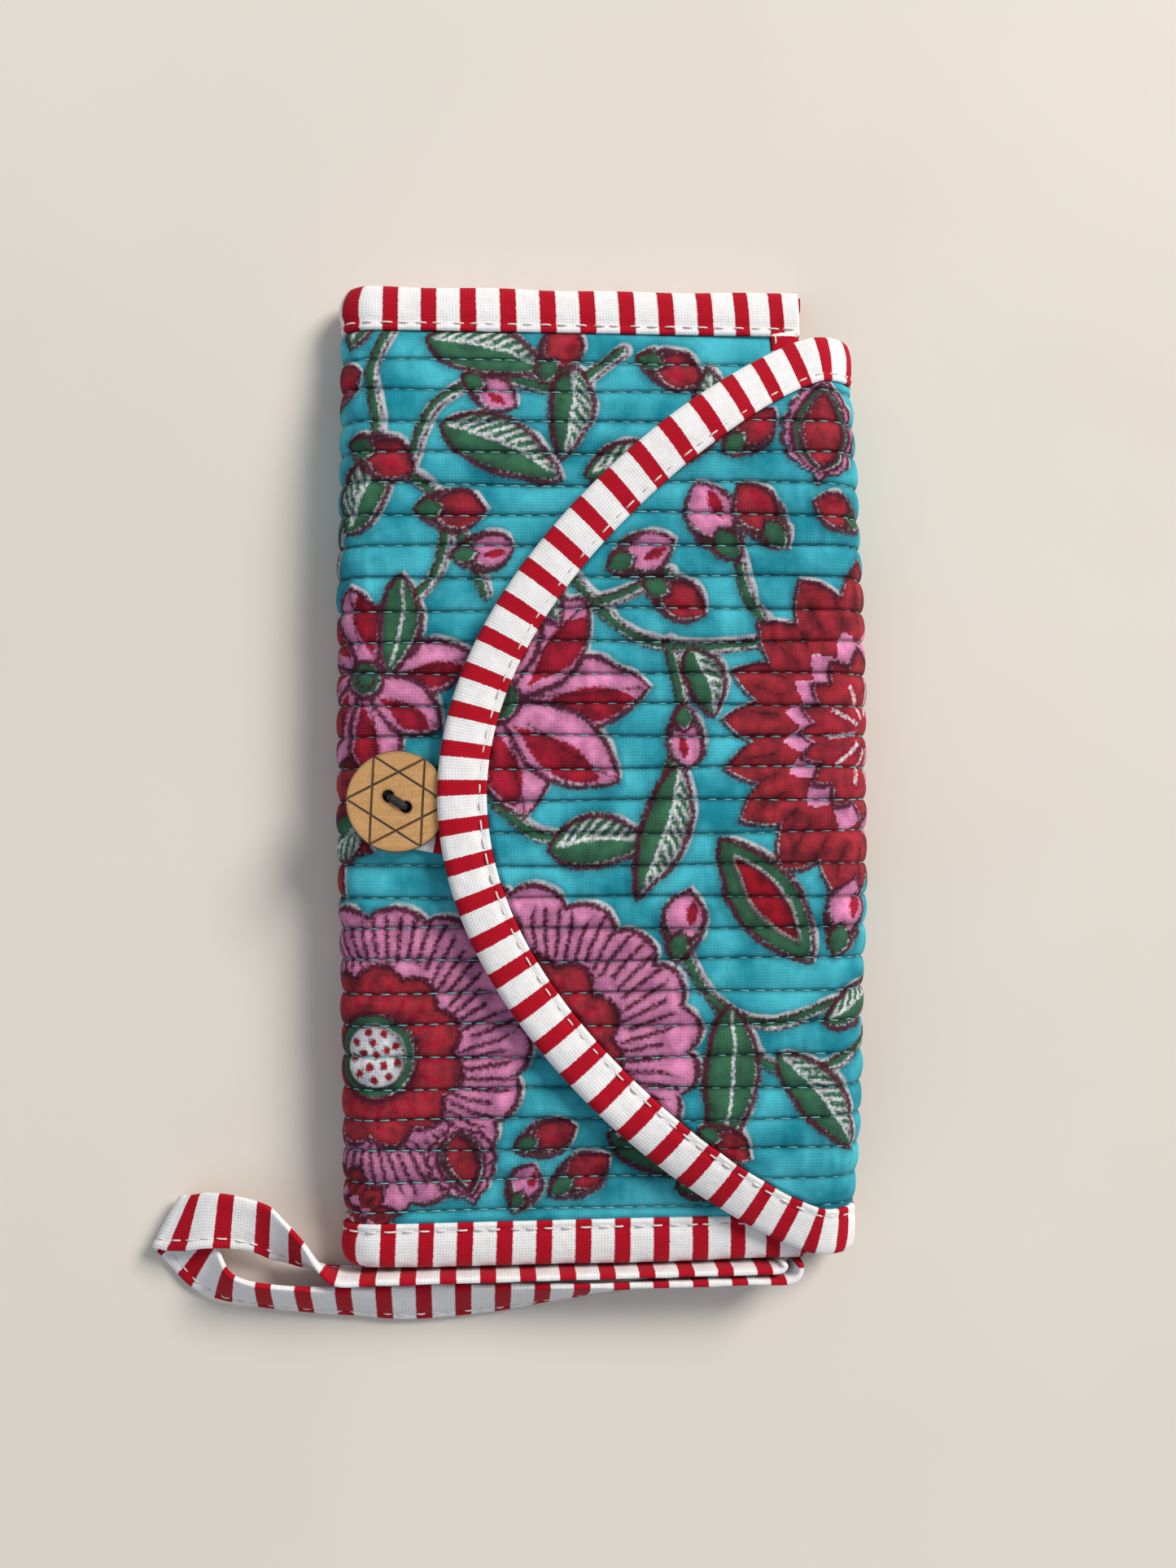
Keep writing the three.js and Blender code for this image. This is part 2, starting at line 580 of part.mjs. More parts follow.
// A closed flat band through the stations: each cross-section is a rectangle with softened long edges.
function ribbon(stations, wide, thick, perSpan) {
  const stops = stations.map(([x, y, z]) => new THREE.Vector3(x, y, z));
  const ways = stations.map(([, , , x, y, z]) => new THREE.Vector3(x, y, z));
  const middle = new THREE.CatmullRomCurve3(stops, false, "centripetal");
  const acrossCurve = new THREE.CatmullRomCurve3(ways);
  const count = (stations.length - 1) * perSpan;
  const section = [
    [-0.5, -0.3],
    [-0.44, -0.5],
    [0.44, -0.5],
    [0.5, -0.3],
    [0.5, 0.3],
    [0.44, 0.5],
    [-0.44, 0.5],
    [-0.5, 0.3],
  ];
  const ring = section.length;
  const places = [];
  const faces = [];
  for (let i = 0; i <= count; i++) {
    const t = i / count;
    const centre = middle.getPoint(t);
    const along = middle.getTangent(t);
    const across = acrossCurve.getPoint(t).normalize();
    const normal = new THREE.Vector3().crossVectors(along, across);
    across.divideScalar(normal.length());
    normal.normalize();
    for (const [u, v] of section)
      places.push(centre.clone().addScaledVector(across, u * wide).addScaledVector(normal, v * thick));
  }
  for (let i = 0; i < count; i++)
    for (let j = 0; j < ring; j++) {
      const a = i * ring + j;
      const b = i * ring + ((j + 1) % ring);
      faces.push(a, b, a + ring, b, b + ring, a + ring);
    }
  const last = count * ring;
  for (let j = 1; j < ring - 1; j++) faces.push(0, j + 1, j, last, last + j, last + j + 1);
  const made = new THREE.BufferGeometry().setFromPoints(places);
  made.setIndex(faces);
  return made;
}
place("wrist_strap", ribbon(STRAP_STATIONS, STRAP_WIDE, STRAP_THICK, 3), stripedCotton);

export default wallet;
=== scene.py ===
import sys
import logging
import math
from dataclasses import dataclass, field
from enum import Enum
from typing import Callable, Optional, Sequence

import bpy
import numpy as np
from mathutils import Matrix, Vector


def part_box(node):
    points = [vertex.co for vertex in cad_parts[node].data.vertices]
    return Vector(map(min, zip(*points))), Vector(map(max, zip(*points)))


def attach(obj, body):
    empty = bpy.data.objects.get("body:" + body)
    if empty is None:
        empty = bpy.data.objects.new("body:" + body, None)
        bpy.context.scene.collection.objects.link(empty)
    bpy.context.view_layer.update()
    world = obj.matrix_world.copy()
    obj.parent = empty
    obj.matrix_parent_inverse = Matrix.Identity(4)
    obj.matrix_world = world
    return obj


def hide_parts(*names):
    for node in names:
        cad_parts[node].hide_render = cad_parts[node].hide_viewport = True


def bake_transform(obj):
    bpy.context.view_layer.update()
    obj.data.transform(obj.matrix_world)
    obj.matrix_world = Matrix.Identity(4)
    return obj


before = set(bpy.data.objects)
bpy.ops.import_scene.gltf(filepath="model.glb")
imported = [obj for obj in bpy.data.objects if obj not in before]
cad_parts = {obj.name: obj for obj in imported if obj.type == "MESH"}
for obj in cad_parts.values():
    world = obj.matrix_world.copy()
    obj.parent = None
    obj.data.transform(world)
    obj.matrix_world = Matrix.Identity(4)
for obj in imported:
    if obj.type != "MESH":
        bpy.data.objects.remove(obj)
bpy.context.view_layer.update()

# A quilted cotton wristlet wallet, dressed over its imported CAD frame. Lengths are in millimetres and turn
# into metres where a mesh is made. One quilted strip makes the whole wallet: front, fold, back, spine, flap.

LOG = logging.getLogger("wristlet_wallet")
MM = 0.001
Array = np.ndarray


# ------------ small maths
def smooth(t: Array) -> Array:
    """Eases t from 0 to 1 with flat ends."""
    t = np.clip(t, 0.0, 1.0)
    return t * t * (3.0 - 2.0 * t)


def value_noise(x: Array, y: Array, seed: int = 0) -> Array:
    """Smooth noise from -1 to 1 on a unit lattice.

    Args:
        x: first coordinate of each point.
        y: second coordinate of each point.
        seed: picks another lattice of values.

    Returns:
        One value for each point.
    """
    x, y = np.broadcast_arrays(np.asarray(x, float), np.asarray(y, float))
    column, row = np.floor(x).astype(np.int64), np.floor(y).astype(np.int64)
    across, up = smooth(x - column), smooth(y - row)

    def corner(i: Array, j: Array) -> Array:
        """The lattice value at one corner."""
        mixed = (i * 374761393 + j * 668265263 + seed * 974634777) & 0xFFFFFFFF
        mixed = ((mixed ^ (mixed >> 13)) * 1274126177) & 0xFFFFFFFF
        return ((mixed ^ (mixed >> 16)) & 0xFFFF) / 32767.5 - 1.0

    low = corner(column, row) * (1 - across) + corner(column + 1, row) * across
    high = corner(column, row + 1) * (1 - across) + corner(column + 1, row + 1) * across
    return low * (1 - up) + high * up


def unit(vectors: Array) -> Array:
    """Each vector at length 1."""
    return vectors / np.maximum(np.linalg.norm(vectors, axis=-1, keepdims=True), 1e-9)


def arc_lengths(points: Array) -> Array:
    """The distance run along a polyline at each of its points."""
    return np.concatenate([[0.0], np.cumsum(np.linalg.norm(np.diff(points, axis=0), axis=1))])


def resample(points: Array, step: float) -> Array:
    """The polyline with points every step or a little less."""
    run = arc_lengths(points)
    wanted = np.linspace(0.0, run[-1], max(2, int(math.ceil(run[-1] / step)) + 1))
    return np.stack([np.interp(wanted, run, points[:, i]) for i in range(points.shape[1])], axis=1)


def catmull_rom(knots: Array, per_span: int) -> Array:
    """A centripetal Catmull-Rom curve through the knots.

    Args:
        knots: the points to pass through; columns past the third ride along.
        per_span: points made for each span.

    Returns:
        The curve's points.
    """
    ends = np.vstack([2 * knots[0] - knots[1], knots, 2 * knots[-1] - knots[-2]])
    made = []
    for a, b, c, d in zip(ends, ends[1:], ends[2:], ends[3:]):
        gaps = [max(np.linalg.norm(q[:3] - p[:3]) ** 0.5, 1e-4) for p, q in ((a, b), (b, c), (c, d))]
        t1, t2 = gaps[0], gaps[0] + gaps[1]
        t3 = t2 + gaps[2]
        t = np.linspace(t1, t2, per_span, endpoint=False)[:, None]
        ab = (t1 - t) / t1 * a + t / t1 * b
        bc = (t2 - t) / (t2 - t1) * b + (t - t1) / (t2 - t1) * c
        cd = (t3 - t) / (t3 - t2) * c + (t - t2) / (t3 - t2) * d
        abc = (t2 - t) / t2 * ab + t / t2 * bc
        bcd = (t3 - t) / (t3 - t1) * bc + (t - t1) / (t3 - t1) * cd
        made.append((t2 - t) / (t2 - t1) * abc + (t - t1) / (t2 - t1) * bcd)
    return np.vstack([*made, knots[-1:]])


def rounded(knots: Array) -> Array:
    """A closed flat outline, drawn smoothly through its knots."""
    closed = np.vstack([knots, knots[:1]])
    return catmull_rom(np.column_stack([closed, np.zeros(len(closed))]), 3)[:-1, :2]


def flat_oval(points: int, wide: float, thick: float, powers: tuple[float, float]) -> tuple[Array, Array]:
    """The section of a pressed strip: places across and through it, squarer with smaller powers."""
    angle = np.linspace(0, 2 * np.pi, points, endpoint=False)
    return tuple(np.sign(way) * np.abs(way) ** power * size / 2 for way, power, size in
                 zip((np.cos(angle), np.sin(angle)), powers, (wide, thick)))


def flat_cloth(along: Array, across: Array) -> dict[str, Array]:
    """The field of a piece that says where each point lay in the flat cloth."""
    return {"cloth": np.stack(np.broadcast_arrays(along, across, 0.0), -1)}


# ------------ meshes
def make_mesh(name: str, points: Array, faces: Sequence[Array], fields: dict[str, Array],
              uv: Optional[Sequence[Array]] = None, crisp: int = 0) -> bpy.types.Object:
    """Makes a smooth-shaded object whose faces point outwards.

    Args:
        name: the piece's name.
        points: vertex places in millimetres.
        faces: arrays of vertex numbers, one array for each count of corners, all wound the same way.
        fields: values stored at each vertex, one number or three.
        uv: a bake layout for each corner.
        crisp: how many of the last faces are a cut edge and stay flat-shaded.

    Returns:
        The new object, linked to the scene.
    """
    a, b, c = (points[np.concatenate([f[:, k] for f in faces])] for k in (0, 1, 2))
    turned = np.einsum("ij,ij->", a, np.cross(b, c)) < 0
    corners = np.concatenate([(f[:, ::-1] if turned else f).ravel() for f in faces])
    sizes = np.concatenate([np.full(len(f), f.shape[1]) for f in faces])
    starts = np.concatenate([[0], np.cumsum(sizes)[:-1]])
    mesh = bpy.data.meshes.new(name)
    mesh.vertices.add(len(points))
    mesh.vertices.foreach_set("co", (points * MM).astype(np.float32).ravel())
    mesh.loops.add(len(corners))
    mesh.loops.foreach_set("vertex_index", corners.astype(np.int32))
    mesh.polygons.add(len(sizes))
    mesh.polygons.foreach_set("loop_start", starts.astype(np.int32))
    mesh.polygons.foreach_set("use_smooth", np.arange(len(sizes)) < len(sizes) - crisp)
    mesh.update(calc_edges=True)
    for label, values in fields.items():
        kind, key = ("FLOAT_VECTOR", "vector") if values.ndim == 2 else ("FLOAT", "value")
        mesh.attributes.new(label, kind, "POINT").data.foreach_set(key, values.astype(np.float32).ravel())
    if uv is not None:
        ordered = np.concatenate([part[:, ::-1] if turned else part for part in uv]).reshape(-1, 2)
        mesh.uv_layers.new(name="OFBake").data.foreach_set("uv", ordered.astype(np.float32).ravel())
    made = bpy.data.objects.new(name, mesh)
    bpy.context.scene.collection.objects.link(made)
    return made


def grid_faces(index: Array) -> Array:
    """The quads of a grid of vertex numbers."""
    return np.stack([index[:-1, :-1], index[1:, :-1], index[1:, 1:], index[:-1, 1:]], axis=-1).reshape(-1, 4)


def slab(name: str, outer: Array, inner: Array, fields: dict[str, Array]) -> bpy.types.Object:
    """A closed sheet with thickness, between two grids of points.

    Args:
        name: the piece's name.
        outer: the grid that shows.
        inner: the grid behind it, with as many rows and columns.
        fields: grids of values on the outer side, given to both.

    Returns:
        The new object.
    """
    rows, columns = outer.shape[:2]
    index = np.arange(rows * columns).reshape(rows, columns)
    behind = index + rows * columns
    edge = np.concatenate([index[:, 0], index[-1, 1:], index[-2::-1, -1], index[0, -2:0:-1]])
    following = np.roll(edge, -1)
    rim = np.stack([following, edge, edge + rows * columns, following + rows * columns], axis=-1)
    faces = [grid_faces(index), grid_faces(behind)[:, ::-1], rim]
    u, v = np.meshgrid(np.linspace(0, 1, rows), np.linspace(0, 1, columns), indexing="ij")
    shown, hidden = (np.stack([u, v * tall + low], -1).reshape(-1, 2) for low,
                     tall in ((0, 0.86), (0.88, 0.09)))
    along = np.linspace(0, 1, len(edge) + 1)
    low, high = np.full(len(edge), 0.98), np.full(len(edge), 0.995)
    rim_uv = np.stack([np.stack(p, -1) for p in
                       ((along[1:], low), (along[:-1], low), (along[:-1], high), (along[1:], high))], axis=1)
    uv = [shown[faces[0]], hidden[faces[1] - rows * columns], rim_uv]
    points = np.concatenate([outer.reshape(-1, 3), inner.reshape(-1, 3)])
    both = {k: np.concatenate([f.reshape(-1, *f.shape[2:])] * 2) for k, f in fields.items()}
    return make_mesh(name, points, faces, both, uv, crisp=len(rim))


def sweep(name: str, rings: Array, fields: dict[str, Array]) -> bpy.types.Object:
    """A closed tube through rings of points, with both ends capped.

    Args:
        name: the piece's name.
        rings: (stations, points round, 3).
        fields: (stations, points round) grids of values.

    Returns:
        The new object.
    """
    points, faces, values = sweep_parts(rings, fields)
    return make_mesh(name, points, faces, values)


def sweep_parts(rings: Array, fields: dict[str, Array]) -> tuple[Array, list[Array], dict[str, Array]]:
    """The points, faces and fields of one capped tube."""
    stations, round_ = rings.shape[:2]
    index = np.arange(stations * round_).reshape(stations, round_)
    wrapped = np.concatenate([index, index[:, :1]], axis=1)
    first, last = stations * round_, stations * round_ + 1
    ring = wrapped[0]
    start = np.stack([ring[:-1], ring[1:], np.full(round_, first)], -1)
    ring = wrapped[-1]
    finish = np.stack([ring[1:], ring[:-1], np.full(round_, last)], -1)
    points = np.concatenate([rings.reshape(-1, 3), rings[:1].mean(1), rings[-1:].mean(1)])
    values = {k: np.concatenate([f.reshape(-1, *f.shape[2:]), f[:1].mean(1), f[-1:].mean(1)])
              for k, f in fields.items()}
    return points, [grid_faces(wrapped), np.concatenate([start, finish])], values


def tube_rings(path: Array, radius: float, sides: int) -> Array:
    """Round rings of points along a path."""
    along = unit(np.gradient(path, axis=0))
    helper = np.where(np.abs(along[:, 2:]) > 0.9, [[1.0, 0.0, 0.0]], [[0.0, 0.0, 1.0]])
    side = unit(np.cross(along, helper))
    up = np.cross(side, along)
    angle = np.linspace(0, 2 * np.pi, sides, endpoint=False)[None, :, None]
    return path[:, None] + radius * (np.cos(angle) * side[:, None] + np.sin(angle) * up[:, None])


def merge(name: str, parts: Sequence[tuple[Array, list[Array], dict[str, Array]]]) -> bpy.types.Object:
    """One object from several closed meshes, each wound outwards.

    Args:
        name: the piece's name.
        parts: points, faces and fields of each.

    Returns:
        The new object.
    """
    points, quads, triangles, offset = [], [], [], 0
    for where, (four, three), _ in parts:
        points.append(where)
        quads.append(four + offset)
        triangles.append(three + offset)
        offset += len(where)
    fields = {k: np.concatenate([values[k] for _, _, values in parts]) for k in parts[0][2]}
    return make_mesh(name, np.concatenate(points), [np.concatenate(quads), np.concatenate(triangles)], fields)


@dataclass(frozen=True)
class Thread:
    """A sewing thread as it lies in a running stitch."""

    thick: float
    stitch: float
    gap: float

    def stitches(self, lines: Sequence[tuple[Array, Array]], seed: int) -> tuple[Array, list[Array], dict]:
        """Short capsules laid along lines, each dipping into the cloth at both ends.

        Args:
            lines: a path and the cloth's normals at its points, for each line of stitching.
            seed: varies the stitch lengths.

        Returns:
            Points, faces and fields of every stitch.
        """
        share = np.array([0.0, 0.12, 0.35, 0.65, 0.88, 1.0])
        rise = np.array([-0.9, -0.1, 0.35, 0.35, -0.1, -0.9]) * self.thick
        fat = np.array([0.45, 0.9, 1.0, 1.0, 0.9, 0.45]) * self.thick / 2
        angle = np.linspace(0, 2 * np.pi, 6, endpoint=False)
        rings = []
        for number, (path, normals) in enumerate(lines):
            run = arc_lengths(path)
            count = int(run[-1] / (self.stitch + self.gap))
            if count < 1:
                continue
            order = np.arange(count)
            start = (order + 0.5 * (1 + 0.3 * value_noise(order * 1.7, number, seed))) * run[-1] / count
            long = self.stitch * (1 + 0.12 * value_noise(order * 2.3 + 9.1, number, seed))
            at = np.clip(start[:, None] + (share[None] - 0.5) * long[:, None], 0, run[-1])
            centre = np.stack([np.interp(at, run, path[:, i]) for i in range(3)], -1)
            normal = unit(np.stack([np.interp(at, run, normals[:, i]) for i in range(3)], -1))
            along = unit(np.gradient(centre, axis=1))
            side = unit(np.cross(along, normal))
            centre = centre + normal * rise[None, :, None]
            rings.append(centre[:, :, None] + fat[None, :, None, None] * (
                np.cos(angle)[None, None, :, None] * side[:, :, None]
                + np.sin(angle)[None, None, :, None] * normal[:, :, None]))
        return many_tubes(np.concatenate(rings))


def many_tubes(rings: Array) -> tuple[Array, list[Array], dict[str, Array]]:
    """Points and faces of equal capped tubes, from (tubes, stations, points round, 3)."""
    tubes, stations, sides = rings.shape[:3]
    _, faces, _ = sweep_parts(rings[0], {})
    size = stations * sides + 2
    points = np.concatenate([rings.reshape(tubes, -1, 3), rings[:, :1].mean(2), rings[:, -1:].mean(2)],
                            axis=1)
    shift = (np.arange(tubes) * size)[:, None, None]
    return points.reshape(-1, 3), [(f[None] + shift).reshape(-1, f.shape[1]) for f in faces], {}


# ------------ the wallet's sizes
def box_mm(node: str) -> tuple[Array, Array]:
    """A CAD node's lowest and highest corners in millimetres."""
    low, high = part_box(node)
    return np.array(low) / MM, np.array(high) / MM


def from_frame(node: str, side: int, axis: int) -> float:
    """A dataclass field taken from a CAD node: side 0 is its lowest corner and 1 its highest, axis 0 is X."""
    return field(default_factory=lambda: box_mm(node)[side][axis])


@dataclass(frozen=True)
class Sizes:
    """The lines and levels that every soft piece is built to, taken from the frame."""

    end: float = from_frame("end_binding_top", 1, 1)
    cloth_end: float = from_frame("case_outer_cloth", 1, 1)
    left: float = from_frame("case_outer_cloth", 0, 0)
    right: float = from_frame("spine_outer_cloth", 1, 0)
    case_thick: float = from_frame("case_outer_cloth", 1, 2)
    flap_high: float = from_frame("spine_outer_cloth", 1, 2)
    flap_low: float = from_frame("flap_binding", 0, 2)
    mouth_x: float = from_frame("end_binding_top", 1, 0)
    mouth_binding_x: float = from_frame("mouth_binding", 0, 0)
    flap_top: float = from_frame("spine_binding_top", 1, 1)
    flap_bottom: float = from_frame("spine_binding_bottom", 0, 1)
    apex_x: float = from_frame("flap_binding", 0, 0)
    binding_wide: float = 9.7
    shoulder_power: int = 16
    shoulder_share: float = 0.1

    @property
    def fold_radius(self) -> float:
        """Outer radius of the round fold."""
        return self.case_thick / 2

    @property
    def fold_x(self) -> float:
        """Axis of the round fold."""
        return self.left + self.fold_radius

    @property
    def spine_radius(self) -> float:
        """Outer radius of the spine."""
        return self.flap_high / 2

    @property
    def spine_x(self) -> float:
        """Axis that the spine's cloth bends round."""
        return self.right - self.spine_radius

    @property
    def panel(self) -> float:
        """Thickness of the quilted strip."""
        return self.flap_high - self.flap_low

    @property
    def drift(self) -> float:
        """Y of the middle of the flap."""
        return (self.flap_top + self.flap_bottom) / 2

    @property
    def flap_half(self) -> float:
        """Half of the flap's length along the spine."""
        return (self.flap_top - self.flap_bottom) / 2

    @property
    def spine_run(self) -> float:
        """Length of cloth round the spine."""
        return math.pi * self.spine_radius

    @property
    def front_run(self) -> float:
        """Length of cloth from the mouth to the fold."""
        return self.mouth_x - self.fold_x

    @property
    def fold_run(self) -> float:
        """Length of cloth round the fold."""
        return math.pi * self.fold_radius

    @property
    def case_run(self) -> float:
        """Length of cloth from the front's mouth round to the start of the spine."""
        return self.front_run + self.fold_run + self.spine_x - self.fold_x


SIZES = Sizes()


@dataclass(frozen=True)
class Settling:
    """How the sewn ends pull the soft wallet in: flatter over the table and a little narrower."""

    starts: float = 66.0
    flatter: float = 0.36
    spine_draw: float = 2.4
    fold_draw: float = 0.9
    rests_at: float = 0.03
    # the draw grows over these stretches of X, on the spine's side and on the fold's
    spine_stretch: tuple[float, float] = (20.0, 54.0)
    fold_stretch: tuple[float, float] = (-30.0, -54.0)

    def apply(self, points: Array) -> Array:
        """The points of a soft piece, moved as the cloth settles."""
        out = points.copy()
        end = smooth((np.abs(points[..., 1]) - self.starts) / (SIZES.end - self.starts))
        middle = smooth(np.abs(points[..., 1]) / SIZES.end)
        out[..., 2] = points[..., 2] * (1 - self.flatter * end)
        for draw, (near, far) in ((-self.spine_draw, self.spine_stretch),
                                  (self.fold_draw, self.fold_stretch)):
            out[..., 0] += draw * middle * smooth((points[..., 0] - near) / (far - near))
        out[..., 2] = np.maximum(out[..., 2], self.rests_at)
        return out


SETTLING = Settling()


@dataclass(frozen=True)
class Strip:
    """Where the quilted strip runs. A place on it is a run along it, a Y and a depth below its outer face."""

    def case(self, run: Array, y: Array, depth: Array) -> Array:
        """Points of the front, fold and back, from a run that starts at the pocket's mouth."""
        run, y, depth = np.broadcast_arrays(run, y, depth)
        turn = np.clip((run - SIZES.front_run) / SIZES.fold_radius, 0, math.pi)
        reach = SIZES.fold_radius - depth
        x = SIZES.fold_x - reach * np.sin(turn)
        x = x + np.maximum(SIZES.front_run - run, 0) + np.maximum(run - SIZES.front_run - SIZES.fold_run, 0)
        return np.stack([x, y, SIZES.fold_radius + reach * np.cos(turn)], -1)

    def flap(self, run: Array, y: Array, depth: Array) -> Array:
        """Points of the spine and flap. The run is negative round the spine and positive on the flap."""
        run, y, depth = np.broadcast_arrays(run, y, depth)
        turn = np.clip(math.pi + run / SIZES.spine_radius, 0, math.pi)
        reach = SIZES.spine_radius - depth
        x = SIZES.spine_x + reach * np.sin(turn) - np.maximum(run, 0)
        return np.stack([x, y, SIZES.spine_radius - reach * np.cos(turn)], -1)


STRIP = Strip()


@dataclass(frozen=True)
class Quilting:
    """Rows of running stitch across the strip, and how the cloth puffs between them."""

    pitch: float = 6.35
    first: float = 1.2
    valley: float = 0.9
    crown: float = 0.22
    pucker: float = 0.15
    pressed: float = 1.15
    # half-width of the shade painted along each row of stitching
    crease_half: float = 0.5
    thread: Thread = Thread(0.3, 2.2, 1.0)

    def line(self, number: Array, run: Array) -> Array:
        """Y of a stitch line, hand-guided and so a little wavy."""
        wave = 0.22 * np.sin(run * 0.083 + 2.1 * number) + 0.16 * np.sin(run * 0.031 + 5.3 * number)
        return self.first + number * self.pitch + wave

    def place(self, row: Array, run: Array) -> Array:
        """Y of a row, counted in stitch lines and parts of the channel between them."""
        number = np.floor(row)
        below = self.line(number, run)
        return below + (row - number) * (self.line(number + 1, run) - below)

    def rows(self, low: float, high: float) -> Array:
        """Rows between two values of Y, closest together beside the stitch lines."""
        shares = np.array([0.0, 0.04, 0.1, 0.17, 0.25, 0.33, 0.41, 0.5, 0.59, 0.67, 0.75, 0.83, 0.9, 0.96])
        first, last = (low - self.first) / self.pitch, (high - self.first) / self.pitch
        every = (np.arange(math.floor(first), math.ceil(last) + 1)[:, None] + shares).ravel()
        inside = every[(every > first + 0.03) & (every < last - 0.03)]
        return np.concatenate([[first], inside, [last]])

    def share(self, run: Array, y: Array) -> tuple[Array, Array]:
        """The channel that each point is in, and how far across it."""
        number = np.floor((y - self.first) / self.pitch)
        number = number - (y < self.line(number, run) - 1e-6) + (y >= self.line(number + 1, run) - 1e-6)
        below, above = self.line(number, run), self.line(number + 1, run)
        return number, np.clip((y - below) / (above - below), 0, 1)

    def crease(self, run: Array, y: Array) -> Array:
        """How near each point is to a row of stitching, from 0 to 1; the printed cloth is painted darker by
        it, as shade in the crease.
        """
        _, share = self.share(run, y)
        return np.exp(-((np.minimum(share, 1 - share) * self.pitch / self.crease_half) ** 2))

    def depth(self, run: Array, y: Array) -> Array:
        """Depth of the outer face below the strip's nominal face."""
        number, share = self.share(run, y)
        puff = (4 * share * (1 - share)) ** 0.43
        fullness = 1 + 0.12 * value_noise(number * 3.7, run / 23.0, 5)
        gathers = value_noise(run / 1.35, y / 7.0, 11) + 0.8 * value_noise(run / 2.9, y / 5.0, 12)
        strength = self.pucker * (0.75 + 0.6 * value_noise(run / 19.0, y / 13.0, 14))
        soft = 0.3 * value_noise(run / 17.0, y / 21.0, 13)
        return self.valley - (self.valley + self.crown) * puff * fullness - strength * gathers - soft

    def press(self, depth: Array, inset: Array) -> Array:
        """The depth with the cloth pressed down by the binding sewn over its edge."""
        sewn = smooth((SIZES.binding_wide + 1.0 - inset) / 1.3)
        return depth + (np.maximum(self.pressed, depth) - depth) * sewn

    def numbers(self, low: float, high: float) -> range:
        """The stitch lines that lie between two values of Y."""
        return range(math.ceil((low - self.first) / self.pitch),
                     math.floor((high - self.first) / self.pitch) + 1)


QUILT = Quilting()


@dataclass(frozen=True)
class FlapEdge:
    """The flap's curved edge, in the flat cloth: runs along the strip, and Y."""

    steps: int = 360
    tail_steps: int = 60
    softenings: int = 60
    spacing: float = 0.6
    flat_from: float = 0.3

    def outline(self) -> Array:
        """(run, y) along the edge, from the lower end of the spine over the flap to the upper end."""
        u = np.linspace(-1, 1, self.steps)
        share = SIZES.shoulder_share
        reach = (1 - share) * u**2 + share * u**SIZES.shoulder_power
        x = SIZES.apex_x + (SIZES.spine_x - SIZES.apex_x) * reach
        curve = np.stack([SIZES.spine_x - x, SIZES.drift + SIZES.flap_half * u], -1)
        tail = np.linspace(-SIZES.spine_run, -0.4, self.tail_steps)
        low = np.stack([tail, np.full_like(tail, SIZES.flap_bottom)], -1)
        high = np.stack([tail[::-1], np.full_like(tail, SIZES.flap_top)], -1)
        whole = resample(np.vstack([low, curve, high]), 0.5)
        kept = whole.copy()
        for _ in range(self.softenings):
            kept[1:-1] = 0.25 * kept[:-2] + 0.5 * kept[1:-1] + 0.25 * kept[2:]
        return resample(kept, self.spacing)

    def inward(self, path: Array) -> Array:
        """Unit vectors from the edge into the flap."""
        along = unit(np.gradient(path, axis=0))
        return np.stack([-along[:, 1], along[:, 0]], -1)

    def inset_of(self, run: Array, y: Array) -> Array:
        """How far in from the flap's edge each point lies."""
        path = self.outline()[::2]
        nearest = np.full(run.shape, 99.0)
        for place in path:
            nearest = np.minimum(nearest, np.hypot(run - place[0], y - place[1]))
        return nearest

    def reach_at(self, y: Array, inset: float) -> Array:
        """The furthest run of the flap at each Y, inset from its edge."""
        path = self.outline()
        moved = path + inset * self.inward(path)
        flat = moved[moved[:, 0] > self.flat_from]
        order = np.argsort(flat[:, 1])
        return np.interp(y, flat[order, 1], flat[order, 0], left=self.flat_from, right=self.flat_from)


EDGE = FlapEdge()


@dataclass(frozen=True)
class ButtonLift:
    """How the flap's edge eases up where it lies on the button."""

    lift: float = 1.3
    spread: float = 13.0
    margin: float = 0.8
    clear: float = 0.15
    below_flap: float = 1.5

    def apply(self, points: Array) -> Array:
        """The points with those of the flap lifted clear of the button."""
        low, high = box_mm("button")
        centre, radius = (low + high) / 2, (high[0] - low[0]) / 2
        apart = np.hypot(points[..., 0] - centre[0], points[..., 1] - centre[1])
        on_flap = points[..., 2] > SIZES.flap_low - self.below_flap
        out = points.copy()
        out[..., 2] += self.lift * np.exp(-((apart / self.spread) ** 2)) * on_flap
        over = (apart < radius + self.margin) & on_flap
        out[..., 2] = np.where(over, np.maximum(out[..., 2], high[2] + self.clear), out[..., 2])
        return out


BUTTON_LIFT = ButtonLift()


# ------------ the block print
class Dye(Enum):
    """Each colour that is printed on the ground, from the first block to the last."""

    RESIST = "dye_resist"
    GREEN = "dye_green"
    PINK = "dye_pink"
    CRIMSON = "dye_crimson"
    PALE = "dye_pale"
    LINE = "dye_line"


FAR = -6.0
Group = tuple[tuple[Callable, tuple], ...]


